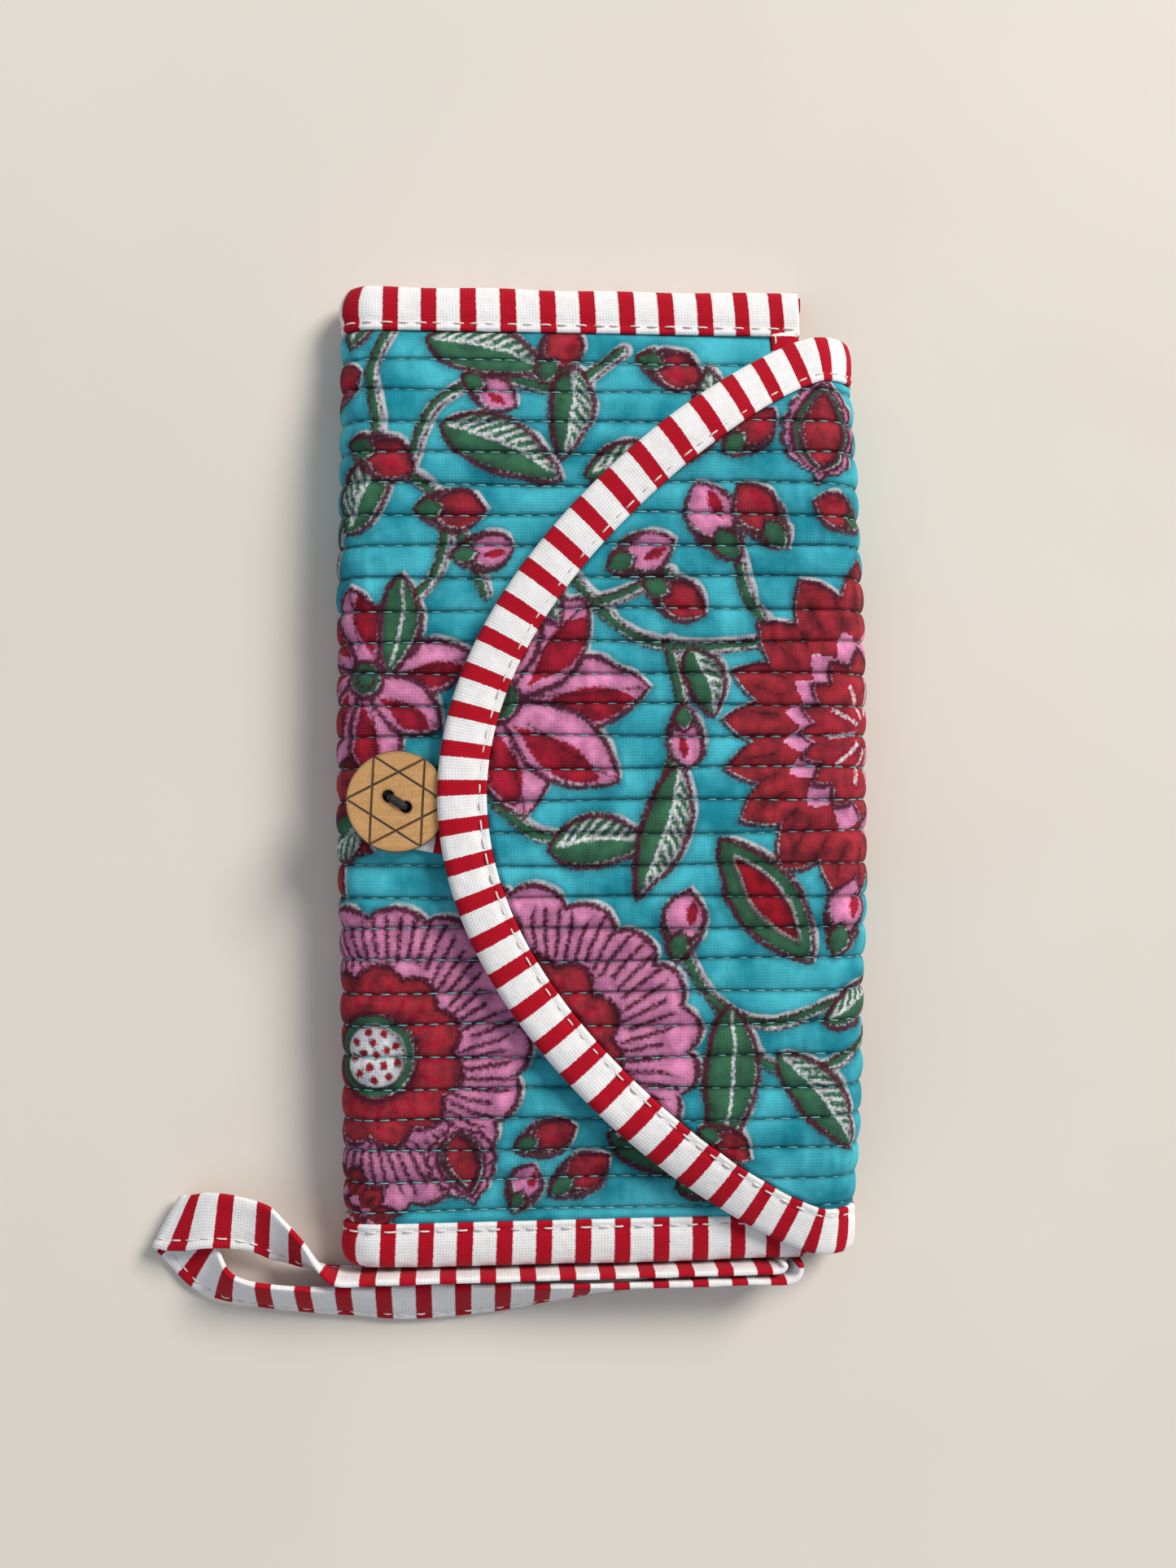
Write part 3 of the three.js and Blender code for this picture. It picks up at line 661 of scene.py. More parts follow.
class BlockPrint:
    """A floral block print, held as distances to the edge of each colour, in millimetres, positive inside."""

    outline_half: float = 0.56
    resist_spread: float = 0.75
    foliage: float = 1.2
    # each block lands a little off the others
    registers: tuple[tuple[float, float, tuple[Dye, ...]], ...] = (
        (0.0, 0.0, (Dye.LINE,)),
        (-0.55, -0.5, (Dye.RESIST,)),
        (0.42, -0.34, (Dye.GREEN,)),
        (-0.3, -0.38, (Dye.PINK, Dye.CRIMSON, Dye.PALE)))

    def __init__(self, q: Array, y: Array) -> None:
        """Starts a blank cloth.

        Args:
            q: place along the strip of each point, growing towards the pocket's mouth.
            y: place across the strip of each point.
        """
        self.q, self.y = q, y
        self.layers = {dye: np.full(q.shape, FAR) for dye in Dye}

    def stamp(self, dye: Dye, where: Array, distance: Array) -> None:
        """Adds a shape to one colour."""
        layer = self.layers[dye]
        layer[where] = np.maximum(layer[where], distance)

    def shape(self, dye: Dye, where: Array, distance: Array, lined: bool = True) -> None:
        """Adds a dyed shape with its dark outline, and clears the outlines that it covers."""
        line = self.layers[Dye.LINE]
        line[where] = np.minimum(line[where], -distance - 0.05)
        for other in (Dye.GREEN, Dye.PINK, Dye.CRIMSON, Dye.PALE):
            if other is not dye:
                layer = self.layers[other]
                layer[where] = np.minimum(layer[where], np.where(distance > -0.3, -distance, 9.0))
        self.stamp(dye, where, distance)
        self.stamp(Dye.RESIST, where, distance + self.resist_spread)
        if lined:
            wobble = 0.12 * value_noise(self.q[where] / 2.1, self.y[where] / 2.1, 31)
            self.stamp(Dye.LINE, where, self.outline_half + wobble - np.abs(distance + 0.15))

    def near(self, place: tuple[float, float], radius: float, turn: float) -> tuple[Array, Array, Array]:
        """The points round a motif, in its own turned axes.

        Args:
            place: the motif's centre.
            radius: how far it reaches.
            turn: its turn in degrees.

        Returns:
            A mask of the points, then how far each lies along and across the motif.
        """
        away, up = self.q - place[0], self.y - place[1]
        where = np.hypot(away, up) < radius
        angle = math.radians(turn)
        away, up = away[where], up[where]
        along = away * math.cos(angle) + up * math.sin(angle)
        across = -away * math.sin(angle) + up * math.cos(angle)
        wobble = 0.35 * value_noise(away / 4.0, up / 4.0, 41)
        return where, along + wobble, across + 0.8 * wobble

    @staticmethod
    def blade(along: Array, across: Array, long: float, wide: float, fullest: float = 0.5) -> Array:
        """Distance to the edge of a pointed leaf shape that starts at the origin."""
        share = np.clip(along / long, 0.0, 1.0) ** (math.log(0.5) / math.log(fullest))
        half = wide / 2 * np.sin(math.pi * share) ** 0.8
        beyond = np.maximum(np.maximum(-along, along - long), 0)
        return (half - np.abs(across)) * 0.88 - beyond

    def leaf(self, place: tuple[float, float], turn: float, long: float, wide: float,
             hatched: bool = True) -> None:
        """A leaf with a pale rib and, on one half, pale side veins."""
        long, wide = long * self.foliage, wide * self.foliage
        where, along, across = self.near(place, long + 3, turn)
        bent = across - 0.9 * np.sin(math.pi * np.clip(along / long, 0, 1)) * wide / 6
        inside = self.blade(along, bent, long, wide, 0.45)
        self.shape(Dye.GREEN, where, inside)
        rib = np.minimum(0.26 - np.abs(bent), np.minimum(along - 1.2, long * 0.9 - along))
        self.stamp(Dye.PALE, where, np.minimum(rib, inside - 0.25))
        if hatched:
            uneven = 0.7 * value_noise(along / 3.1, 0 * along, 43)
            phase = np.abs((along - 1.1 * bent + uneven) % 2.5 - 1.25)
            side = np.minimum(0.36 - phase * 0.75, np.minimum(bent - 0.1, inside - 0.45))
            self.stamp(Dye.PALE, where, side)

    def bud(self, place: tuple[float, float], turn: float, long: float, dye: Dye) -> None:
        """A closed bud in its green cup."""
        long = long * self.foliage
        where, along, across = self.near(place, long * 1.5, turn)
        for spread in (-34, 34):
            angle = math.radians(spread)
            a = along * math.cos(angle) + across * math.sin(angle)
            b = -along * math.sin(angle) + across * math.cos(angle)
            self.shape(Dye.GREEN, where, self.blade(a + long * 0.22, b, long * 0.85, long * 0.34))
        body = self.blade(along - long * 0.02, across, long, long * 0.72, 0.5)
        self.shape(dye, where, body)
        other = Dye.PINK if dye is Dye.CRIMSON else Dye.CRIMSON
        self.stamp(other, where, np.minimum(self.blade(along - long * 0.34, across + long * 0.1, long * 0.5,
                                                       long * 0.2), body - 0.5))
        cup = self.blade(along + long * 0.3, across, long * 0.55, long * 0.42)
        self.shape(Dye.GREEN, where, cup)

    def stem(self, knots: Sequence[tuple[float, float]], thick: float = 1.7) -> None:
        """A vine through a few points."""
        path = catmull_rom(np.array([(*k, 0.0) for k in knots]), 8)[:, :2]
        low, high = path.min(0) - 3, path.max(0) + 3
        where = (self.q > low[0]) & (self.q < high[0]) & (self.y > low[1]) & (self.y < high[1])
        p = np.stack([self.q[where], self.y[where]], -1)
        nearest = np.full(len(p), 99.0)
        for a, b in zip(path, path[1:]):
            way = b - a
            t = np.clip(((p - a) @ way) / max(way @ way, 1e-6), 0, 1)
            nearest = np.minimum(nearest, np.linalg.norm(p - a - t[:, None] * way, axis=1))
        inside = thick / 2 + 0.2 * value_noise(p[:, 0] / 3, p[:, 1] / 3, 51) - nearest
        self.stamp(Dye.GREEN, where, inside)
        self.stamp(Dye.RESIST, where, inside + self.resist_spread)
        self.stamp(Dye.LINE, where, 0.22 - np.abs(inside + 0.2))

    def peony(self, place: tuple[float, float], turn: float, radius: float, frills: int = 17) -> None:
        """A wide open flower: frilled pink petals with combed veins round a crimson heart."""
        where, along, across = self.near(place, radius * 1.15, turn)
        out, angle = np.hypot(along, across), np.arctan2(across, along)
        frill = np.abs(np.cos(angle * frills / 2 + 0.7 * np.sin(angle * 2)))
        edge = radius * (0.9 + 0.08 * frill**0.6 + 0.05 * np.sin(angle * 3 + 1))
        petals = (edge - out) * 0.93
        self.shape(Dye.PINK, where, petals)
        combs = 62
        slant = angle + 0.05 * np.sin(out / radius * 5)
        stroke = np.abs((slant / (2 * math.pi) * combs) % 1.0 - 0.5) * 2 * math.pi / combs * out
        length_noise = 0.1 * value_noise(slant / (2 * math.pi) * combs, 0 * slant, 61)
        band = np.minimum(out - radius * (0.56 + length_noise), radius * (0.86 + length_noise) - out)
        self.stamp(Dye.LINE, where, np.minimum(0.42 - stroke, band))
        inner = radius * (0.5 + 0.07 * np.abs(np.cos(angle * 5.5)))
        self.shape(Dye.CRIMSON, where, (inner - out) * 0.9)
        flecks = np.abs((angle / (2 * math.pi) * 22) % 1.0 - 0.5) * 2 * math.pi / 22 * out
        self.stamp(Dye.PINK, where,
                   np.minimum(0.55 - flecks, np.minimum(out - radius * 0.3, radius * 0.46 - out)))
        self.seed_head(place, turn, radius * 0.27)

    def seed_head(self, place: tuple[float, float], turn: float, radius: float) -> None:
        """A round green-rimmed seed head, pale inside with crimson seeds."""
        where, along, across = self.near(place, radius * 1.3, turn)
        out = np.hypot(along, across)
        self.shape(Dye.GREEN, where, radius - out)
        self.stamp(Dye.PALE, where, radius * 0.74 - out)
        self.stamp(Dye.LINE, where, 0.22 - np.abs(radius * 0.74 - out))
        for ring, count in ((0.0, 1), (0.3, 5), (0.56, 9)):
            for k in range(count):
                angle = 2 * math.pi * (k + 0.3 * ring) / count
                seed = np.hypot(along - ring * radius * math.cos(angle),
                                across - ring * radius * math.sin(angle))
                dot = radius * 0.105 - seed
                self.stamp(Dye.CRIMSON, where, dot)
                self.layers[Dye.PALE][where] = np.minimum(self.layers[Dye.PALE][where], -dot)

    def lily(self, place: tuple[float, float], turn: float, radius: float, petals: int = 8) -> None:
        """A flower of pointed petals, pink with a crimson blade in each."""
        for k in range(petals):
            fan = turn + 360.0 * k / petals + 7 * math.sin(3.1 * k)
            long = radius * (1 + 0.12 * math.sin(2.3 * k + 1))
            where, along, across = self.near(place, radius * 1.25, fan)
            bent = across - 0.07 * along * math.sin(1.7 * k) * along / radius
            outer = self.blade(along, bent, long, radius * 0.52, 0.55)
            self.shape(Dye.PINK, where, outer)
            self.stamp(Dye.CRIMSON, where, np.minimum(
                self.blade(along - radius * 0.2, bent + 0.1 * radius, long * 0.72, radius * 0.26, 0.6),
                outer - 0.4))
            self.stamp(Dye.LINE, where,
                       np.minimum(0.2 - np.abs(bent), np.minimum(outer - 0.5, along - radius * 0.3)))
        where, along, across = self.near(place, radius * 0.5, turn)
        out = np.hypot(along, across)
        self.shape(Dye.GREEN, where, radius * 0.17 - out)
        self.stamp(Dye.LINE, where, 0.25 - np.abs(radius * 0.09 - out))

    def bloom(self, place: tuple[float, float], turn: float, radius: float, points: int = 15) -> None:
        """A ragged crimson flower in two tiers with pink throats."""
        where, along, across = self.near(place, radius * 1.2, turn)
        out, angle = np.hypot(along * 1.12, across), np.arctan2(across, along)
        for tier, dye, size in ((0, Dye.CRIMSON, 1.0), (1, Dye.PINK, 0.62), (2, Dye.CRIMSON, 0.5)):
            jag = np.abs((angle / (2 * math.pi) * points + 0.37 * tier + 0.25 * np.sin(angle * 2)) % 1.0
                         - 0.5) * 2
            edge = radius * size * (0.8 + 0.2 * jag**0.8)
            self.shape(dye, where, (edge - out) * 0.8, lined=tier != 1)
        rays = np.abs((angle / (2 * math.pi) * 11 + 0.2) % 1.0 - 0.5) * 2 * math.pi / 11 * out
        throat = np.minimum(1.0 - rays * 0.8, np.minimum(out - radius * 0.08, radius * 0.34 - out))
        self.stamp(Dye.PINK, where, throat)
        self.stamp(Dye.PALE, where, throat - 0.75)
        slits = np.abs((angle / (2 * math.pi) * points * 2) % 1.0 - 0.5) * math.pi / points * out
        self.stamp(Dye.LINE, where,
                   np.minimum(0.2 - slits, np.minimum(out - radius * 0.66, radius * 0.86 - out)))

    def pod(self, place: tuple[float, float], turn: float, long: float) -> None:
        """A split pod: a green shell with a crimson kernel and a pale gap round it."""
        where, along, across = self.near(place, long * 1.2, turn)
        shell = self.blade(along, across, long, long * 0.42, 0.5)
        self.shape(Dye.GREEN, where, shell)
        gap = self.blade(along - long * 0.14, across, long * 0.72, long * 0.24, 0.5)
        self.stamp(Dye.PALE, where, gap)
        kernel = gap - 0.45
        self.stamp(Dye.CRIMSON, where, kernel)
        self.layers[Dye.PALE][where] = np.minimum(self.layers[Dye.PALE][where], -kernel)
        self.stamp(Dye.LINE, where, 0.2 - np.abs(kernel))

    def drop(self, place: tuple[float, float], turn: float, long: float) -> None:
        """A crimson drop in a green shell with a frilled pink border."""
        where, along, across = self.near(place, long * 1.3, turn)
        body = self.blade(along, across, long, long * 0.7, 0.42)
        angle = np.arctan2(across, along - long * 0.42)
        frill = 0.8 * np.abs(np.cos(angle * 7)) - 0.2
        self.shape(Dye.PINK, where, body + 1.3 + frill)
        self.shape(Dye.GREEN, where, body - 0.2)
        self.shape(Dye.CRIMSON, where, body - long * 0.11)

    def group(self, motifs: Group, q: float, y: float) -> None:
        """Prints one group of motifs round a chosen middle."""
        for motif, details in motifs:
            for first, second, *rest in details:
                if motif is BlockPrint.stem:
                    self.stem([(q + a, y + b) for a, b in (first, second, *rest)])
                else:
                    motif(self, (q + first, y + second), *rest)

    def draw(self) -> None:
        """Draws the whole cloth: one group on the front, one on the flap, and both again on the back."""
        front, flap = self.front_centre(), self.flap_centre()
        self.group(FLAP_GROUP, front - 128, -6)
        self.group(FRONT_GROUP, front - 96, 4)
        self.group(FLAP_GROUP, flap, 0)
        self.group(FRONT_GROUP, front, 0)

    @classmethod
    def finish(cls, q: Array, y: Array) -> dict[str, Array]:
        """Every colour's layer, each block printed in its own register."""
        made = {}
        for right, up, dyes in cls.registers:
            block = cls(q + right, y + up)
            block.draw()
            made.update({dye.value: np.clip(block.layers[dye], FAR, 6) for dye in dyes})
        return made

    @staticmethod
    def front_centre() -> float:
        """The place along the strip that lies over X 0 on the front."""
        return -SIZES.mouth_x

    @staticmethod
    def flap_centre() -> float:
        """The place along the strip that lies over X 0 on the flap."""
        return -(SIZES.case_run + SIZES.spine_run + SIZES.spine_x)


# The flowers that show on the front: motif, its middle in millimetres from the group, and its sizes.
FRONT_GROUP: Group = (
    (BlockPrint.stem, (((-60, 34), (-50, 56), (-40, 60), (-31, 52), (-27, 44), (-24, 36)),
                       ((-50, 57), (-46, 68), (-47, 82), (-40, 96)),
                       ((-40, 60), (-34, 74), (-22, 80), (-8, 78), (4, 86)),
                       ((-31, 52), (-34, 40), (-41, 33)), ((-26, -8), (-18, -14), (-6, -12), (8, -20)))),
    (BlockPrint.peony, ((-47, -56, 20, 32),)),
    (BlockPrint.lily, ((-48, 19, 12, 20),)),
    (BlockPrint.leaf, ((-36, 88, -14, 21, 9), (-33, 70, -24, 22, 9), (-52, 48, 62, 15, 8),
                       (-41, 40, -98, 17, 6.5, False), (-7, 84, -95, 17, 7), (-4, 60, 10, 16, 7),
                       (-52, 86, 70, 12, 6))),
    (BlockPrint.bud, ((-49, 65, -20, 9.5, Dye.CRIMSON), (-35, 53, 0, 9, Dye.CRIMSON),
                      (-28, 44, 10, 8, Dye.PINK), (-26, 79, -30, 8, Dye.PINK), (-11, 82, 60, 9, Dye.CRIMSON),
                      (10, 84, -20, 9, Dye.CRIMSON))),
    (BlockPrint.drop, ((-31, -71, -75, 14),)),
    (BlockPrint.bud, ((-16, -74, 20, 8, Dye.CRIMSON), (-9, -83, 35, 9, Dye.CRIMSON),
                      (-18, -86, 70, 7, Dye.PINK))),
    (BlockPrint.leaf, ((0, -72, -30, 15, 7), (14, -84, 10, 15, 7))),
    (BlockPrint.bloom, ((-56, -92, 0, 15),)),
    (BlockPrint.leaf, ((-48, -8, -150, 13, 7), (-12, 28, 55, 15, 7))),
    (BlockPrint.lily, ((20, 40, 30, 15, 7),)),
    (BlockPrint.stem, (((-8, 28), (2, 20), (4, 6), (14, -2), (28, 2)),)),
    (BlockPrint.leaf, ((3, 14, 160, 15, 6), (8, 2, 60, 17, 7), (14, -3, -60, 13, 6))),
    (BlockPrint.bud, ((26, 2, 20, 9, Dye.PINK), (-2, 24, 110, 8, Dye.CRIMSON), (-14, -4, 150, 8, Dye.PINK))),
    (BlockPrint.stem, (((22, 56), (28, 68), (38, 74)),)),
    (BlockPrint.leaf, ((25, 64, 100, 16, 7),)),
    (BlockPrint.bud, ((36, 73, 20, 9, Dye.CRIMSON),)),
    (BlockPrint.stem, (((18, -55), (12, -66), (2, -70)),)),
    (BlockPrint.leaf, ((14, -60, -130, 14, 6),)),
    (BlockPrint.bloom, ((20, -35, 120, 20),)))

# The flowers that show on the flap.
FLAP_GROUP: Group = (
    (BlockPrint.stem, (((-12, 50), (-6, 38), (6, 27), (18, 25), (31, 26)), ((-2, 34), (4, 36), (12, 40)),
                       ((12, 26), (14, 18), (15, 10), (12, 0)), ((26, 46), (28, 36), (33, 28)),
                       ((14, -33), (20, -44), (32, -50), (46, -46), (60, -42)),
                       ((20, -44), (32, -58), (46, -58), (58, -52)), ((-22, -6), (-14, -12), (-4, -13)))),
    (BlockPrint.bloom, ((54, 8, 175, 35, 17),)),
    (BlockPrint.lily, ((-22, 15, 4, 27, 9),)),
    (BlockPrint.peony, ((-16, -54, -10, 33, 19),)),
    (BlockPrint.leaf, ((-12, -15, 4, 17, 8), (14, 2, -108, 23, 7.5), (16, 25, -70, 12, 6.5),
                       (-18, 44, -60, 14, 6), (24, -46, -95, 25, 9, False), (34, -56, -48, 22, 8),
                       (44, -50, 20, 16, 6))),
    (BlockPrint.pod, ((22, -13, -52, 31),)),
    (BlockPrint.drop, ((44, 60, 84, 19),)),
    (BlockPrint.bud, ((3, 42, 24, 9, Dye.PINK), (10, 37, -28, 9, Dye.CRIMSON), (15, 11, -85, 8, Dye.PINK),
                      (24, 46, 118, 11, Dye.PINK), (34, 48, 128, 10, Dye.CRIMSON),
                      (52, 51, 160, 8, Dye.CRIMSON), (14, -34, 80, 9, Dye.PINK), (47, -33, 75, 10, Dye.PINK),
                      (20, -72, -30, 8, Dye.CRIMSON))),
    (BlockPrint.leaf, ((6, 62, 20, 15, 7),)),
    (BlockPrint.bud, ((26, 66, 40, 9, Dye.CRIMSON),)),
    (BlockPrint.leaf, ((30, 80, 140, 14, 6),)))


# ------------ materials
def linear(code: str) -> tuple[float, float, float, float]:
    """An sRGB hex colour as linear RGBA."""
    parts = [int(code[i : i + 2], 16) / 255 for i in (1, 3, 5)]
    r, g, b = (c / 12.92 if c <= 0.04045 else ((c + 0.055) / 1.055) ** 2.4 for c in parts)
    return r, g, b, 1.0


def add_node(tree: bpy.types.NodeTree, kind: str, settings: Optional[dict] = None,
             links: Optional[dict] = None) -> bpy.types.Node:
    """Adds one shader node.

    Args:
        tree: the material's tree.
        kind: the node's class name, without its ShaderNode part.
        settings: properties by name, and socket values by socket name or number.
        links: for a socket name or number, the output that feeds it.

    Returns:
        The node.
    """
    node = tree.nodes.new("ShaderNode" + kind)
    for key, value in (settings or {}).items():
        if isinstance(key, str) and hasattr(node, key):
            setattr(node, key, value)
        else:
            node.inputs[key].default_value = value
    for key, output in (links or {}).items():
        tree.links.new(output, node.inputs[key])
    return node


def new_material(name: str, roughness: float, metallic: float = 0.0, sheen: float = 0.0,
                 ior: float = 1.5, gloss: float = 0.5) -> tuple[bpy.types.Material, bpy.types.NodeTree,
                                                                bpy.types.Node]:
    """A material with its tree and its Principled shader, constants set on the shader's own sockets."""
    made = bpy.data.materials.new(name)
    made.use_nodes = True
    tree = made.node_tree
    tree.nodes.clear()
    shader = add_node(tree, "BsdfPrincipled", {
        "Roughness": roughness, "Metallic": metallic, "IOR": ior, "Sheen Weight": sheen,
        "Sheen Roughness": 0.45,
        "Specular IOR Level": gloss})
    add_node(tree, "OutputMaterial", links={"Surface": shader.outputs["BSDF"]})
    return made, tree, shader


@dataclass(frozen=True)
class WovenCotton:
    """Plain-weave cotton. Its matte crossing threads break up the light and give a faint fuzz at the edges.

    The real thread spacing is about 0.35 mm. It is drawn at 0.62 mm so that it shows from a hand's distance.
    """

    thread_mm: float = 0.62
    relief_mm: float = 0.055
    roughness: float = 0.88
    sheen: float = 0.04
    gloss: float = 0.2

    def weave(self, tree: bpy.types.NodeTree) -> tuple[bpy.types.NodeSocket, bpy.types.NodeSocket]:
        """The cloth's own flat coordinates in millimetres, and the height of its weave."""
        cloth = add_node(tree, "Attribute", {"attribute_name": "cloth"}).outputs["Vector"]
        period = 2 * math.pi / 20
        drift = add_node(tree, "TexNoise", {"Scale": 0.9, "Detail": 2.0}, {"Vector": cloth})
        moved = add_node(tree, "MixRGB", {"blend_type": "LINEAR_LIGHT", "Fac": 0.16},
                         {"Color1": cloth, "Color2": drift.outputs["Color"]}).outputs["Color"]
        bands = [add_node(tree, "TexWave", {"bands_direction": way, "Scale": period / self.thread_mm,
                                            "Distortion": 0.4, "Detail": 1.0},
                                            {"Vector": moved}).outputs["Color"]
                 for way in ("X", "Y")]
        height = add_node(tree, "Math", {"operation": "MULTIPLY"}, {0: bands[0], 1: bands[1]}).outputs[0]
        return cloth, height

    def finish(self, tree: bpy.types.NodeTree, shader: bpy.types.Node, cloth: bpy.types.NodeSocket,
               weave: bpy.types.NodeSocket, colour: bpy.types.NodeSocket) -> None:
        """Shades the colour by its threads, and gives the shader its colour and its relief."""
        slubs = add_node(tree, "TexNoise", {"Scale": 0.55, "Detail": 4.0, "Roughness": 0.65},
                         {"Vector": cloth})
        uneven = add_node(tree, "MapRange", {"To Min": 0.84, "To Max": 1.14}, {"Value": slubs.outputs["Fac"]})
        # Painted shade and highlight: the colour darkens to 0.86 where the weave dips between threads and
        # lightens a little on their crossings; the slubs above are the yarn's own uneven tone.
        threads = add_node(tree, "MapRange", {"To Min": 0.86, "To Max": 1.05}, {"Value": weave})
        shade = add_node(tree, "Math", {"operation": "MULTIPLY"},
                         {0: uneven.outputs[0], 1: threads.outputs[0]}).outputs[0]
        toned = add_node(tree, "VectorMath", {"operation": "SCALE"}, {0: colour, "Scale": shade})
        tree.links.new(toned.outputs[0], shader.inputs["Base Color"])
        creases = add_node(tree, "TexNoise", {"Scale": 0.35, "Detail": 3.0}, {"Vector": cloth}).outputs["Fac"]
        fold = add_node(tree, "Bump", {"Strength": 0.5, "Distance": 0.35 * MM}, {"Height": creases})
        bump = add_node(tree, "Bump", {"Strength": 0.8, "Distance": self.relief_mm * MM},
                        {"Height": weave, "Normal": fold.outputs["Normal"]})
        tree.links.new(bump.outputs["Normal"], shader.inputs["Normal"])


@dataclass(frozen=True)
class PrintedCotton(WovenCotton):
    """Hand block-printed cotton. Each dye sits a little unevenly, with soft edges and slips of bare cloth."""

    ground: str = "#4cc3d6"
    ground_deep: str = "#148a9f"
    resist: str = "#eef1f6"
    green: str = "#256a47"
    pink: str = "#f094c6"
    crimson: str = "#ab0124"
    line: str = "#4c1029"
    bleed_mm: float = 0.26
    stain: float = 0.42

    def build(self) -> bpy.types.Material:
        """The printed cloth's material."""
        made, tree, shader = new_material("block_printed_cotton", self.roughness, sheen=self.sheen,
                                          gloss=self.gloss)
        cloth, weave = self.weave(tree)
        patchy = add_node(tree, "TexNoise", {"Scale": 0.085, "Detail": 3.0}, {"Vector": cloth}).outputs["Fac"]
        patch = add_node(tree, "MapRange", {"From Min": 0.35, "From Max": 0.65}, {"Value": patchy}).outputs[0]
        colour = add_node(tree, "MixRGB", {"Color1": linear(self.ground), "Color2": linear(self.ground_deep)},
                          {"Fac": patch}).outputs["Color"]
        blots = add_node(tree, "TexNoise", {"Scale": 0.28, "Detail": 4.0}, {"Vector": cloth}).outputs["Fac"]
        blotchy = add_node(tree, "MapRange", {"From Min": 0.42, "From Max": 0.66},
                           {"Value": blots}).outputs[0]
        ragged = add_node(tree, "TexNoise", {"Scale": 1.3, "Detail": 3.0}, {"Vector": cloth}).outputs["Fac"]
        slipped = add_node(tree, "TexNoise", {"Scale": 0.12, "Detail": 1.0}, {"Vector": cloth}).outputs["Fac"]
        for dye, code in ((Dye.RESIST, self.resist), (Dye.GREEN, self.green), (Dye.PINK, self.pink),
                          (Dye.CRIMSON, self.crimson), (Dye.PALE, self.resist), (Dye.LINE, self.line)):
            edge = add_node(tree, "Attribute", {"attribute_name": dye.value}).outputs["Fac"]
            uneven, shift = (slipped, (-2.2, 2.0)) if dye is Dye.RESIST else (ragged, (-0.75, 0.75))
            wander = add_node(tree, "MapRange", {"To Min": shift[0], "To Max": shift[1]}, {"Value": uneven})
            summed = add_node(tree, "Math", {"operation": "ADD"}, {0: edge, 1: wander.outputs[0]})
            if dye is Dye.RESIST:
                summed = add_node(tree, "Math", {"operation": "MINIMUM"}, {0: summed.outputs[0], 1: edge})
            strength = 0.93 if dye in (Dye.RESIST, Dye.LINE) else 0.97
            cover = add_node(tree, "MapRange", {"From Min": -self.bleed_mm, "From Max": self.bleed_mm,
                                                "To Max": strength}, {"Value": summed.outputs[0]})
            if dye is Dye.LINE:
                halo = add_node(tree, "MapRange", {"From Min": -1.9, "From Max": 0.1, "To Min": 1.0,
                                                   "To Max": 1 - self.stain}, {"Value": summed.outputs[0]})
                colour = add_node(tree, "VectorMath", {"operation": "SCALE"},
                                  {0: colour, "Scale": halo.outputs[0]}).outputs[0]
            tone = add_node(tree, "MixRGB", {"blend_type": "MULTIPLY", "Color1": linear(code),
                                             "Color2": (0.42, 0.34, 0.46, 1.0) if dye is Dye.CRIMSON
                                             else (0.66, 0.6, 0.68, 1.0)}, {"Fac": blotchy})
            colour = add_node(tree, "MixRGB", {}, {"Fac": cover.outputs[0], "Color1": colour,
                                                   "Color2": tone.outputs["Color"]}).outputs["Color"]
        # Painted shade: the colour darkens to half along each row of quilting stitches, where shade falls in
        # the crease.
        crease = add_node(tree, "Attribute", {"attribute_name": "crease"}).outputs["Fac"]
        painted_crease_shade = add_node(tree, "MapRange", {"To Min": 1.0, "To Max": 0.5}, {"Value": crease}).outputs[0]
        colour = add_node(tree, "VectorMath", {"operation": "SCALE"},
                          {0: colour, "Scale": painted_crease_shade}).outputs[0]
        self.finish(tree, shader, cloth, weave, colour)
        return made


@dataclass(frozen=True)
class StripedCotton(WovenCotton):
    """Red and white striped cotton cut in strips. The printed red has crisp, slightly uneven sides."""

    white: str = "#f6f6f8"
    red: str = "#b50522"
    repeat_mm: float = 8.05
    red_mm: float = 3.3

    def build(self) -> bpy.types.Material:
        """The striped cloth's material."""
        made, tree, shader = new_material("striped_cotton", self.roughness, sheen=self.sheen,
                                          gloss=self.gloss)
        cloth, weave = self.weave(tree)
        along = add_node(tree, "SeparateXYZ", links={0: cloth}).outputs["X"]
        ragged = add_node(tree, "TexNoise", {"Scale": 1.6, "Detail": 3.0}, {"Vector": cloth}).outputs["Fac"]
        wander = add_node(tree, "MapRange", {"To Min": -0.22, "To Max": 0.22}, {"Value": ragged}).outputs[0]
        moved = add_node(tree, "Math", {"operation": "ADD"}, {0: along, 1: wander}).outputs[0]
        away = add_node(tree, "Math", {"operation": "PINGPONG", 1: self.repeat_mm / 2}, {0: moved}).outputs[0]
        red = add_node(tree, "MapRange",
                       {"From Min": self.red_mm / 2 - 0.1, "From Max": self.red_mm / 2 + 0.1,
                                          "To Min": 1.0, "To Max": 0.0}, {"Value": away}).outputs[0]
        colour = add_node(tree, "MixRGB", {"Color1": linear(self.white), "Color2": linear(self.red)},
                          {"Fac": red}).outputs["Color"]
        self.finish(tree, shader, cloth, weave, colour)
        return made


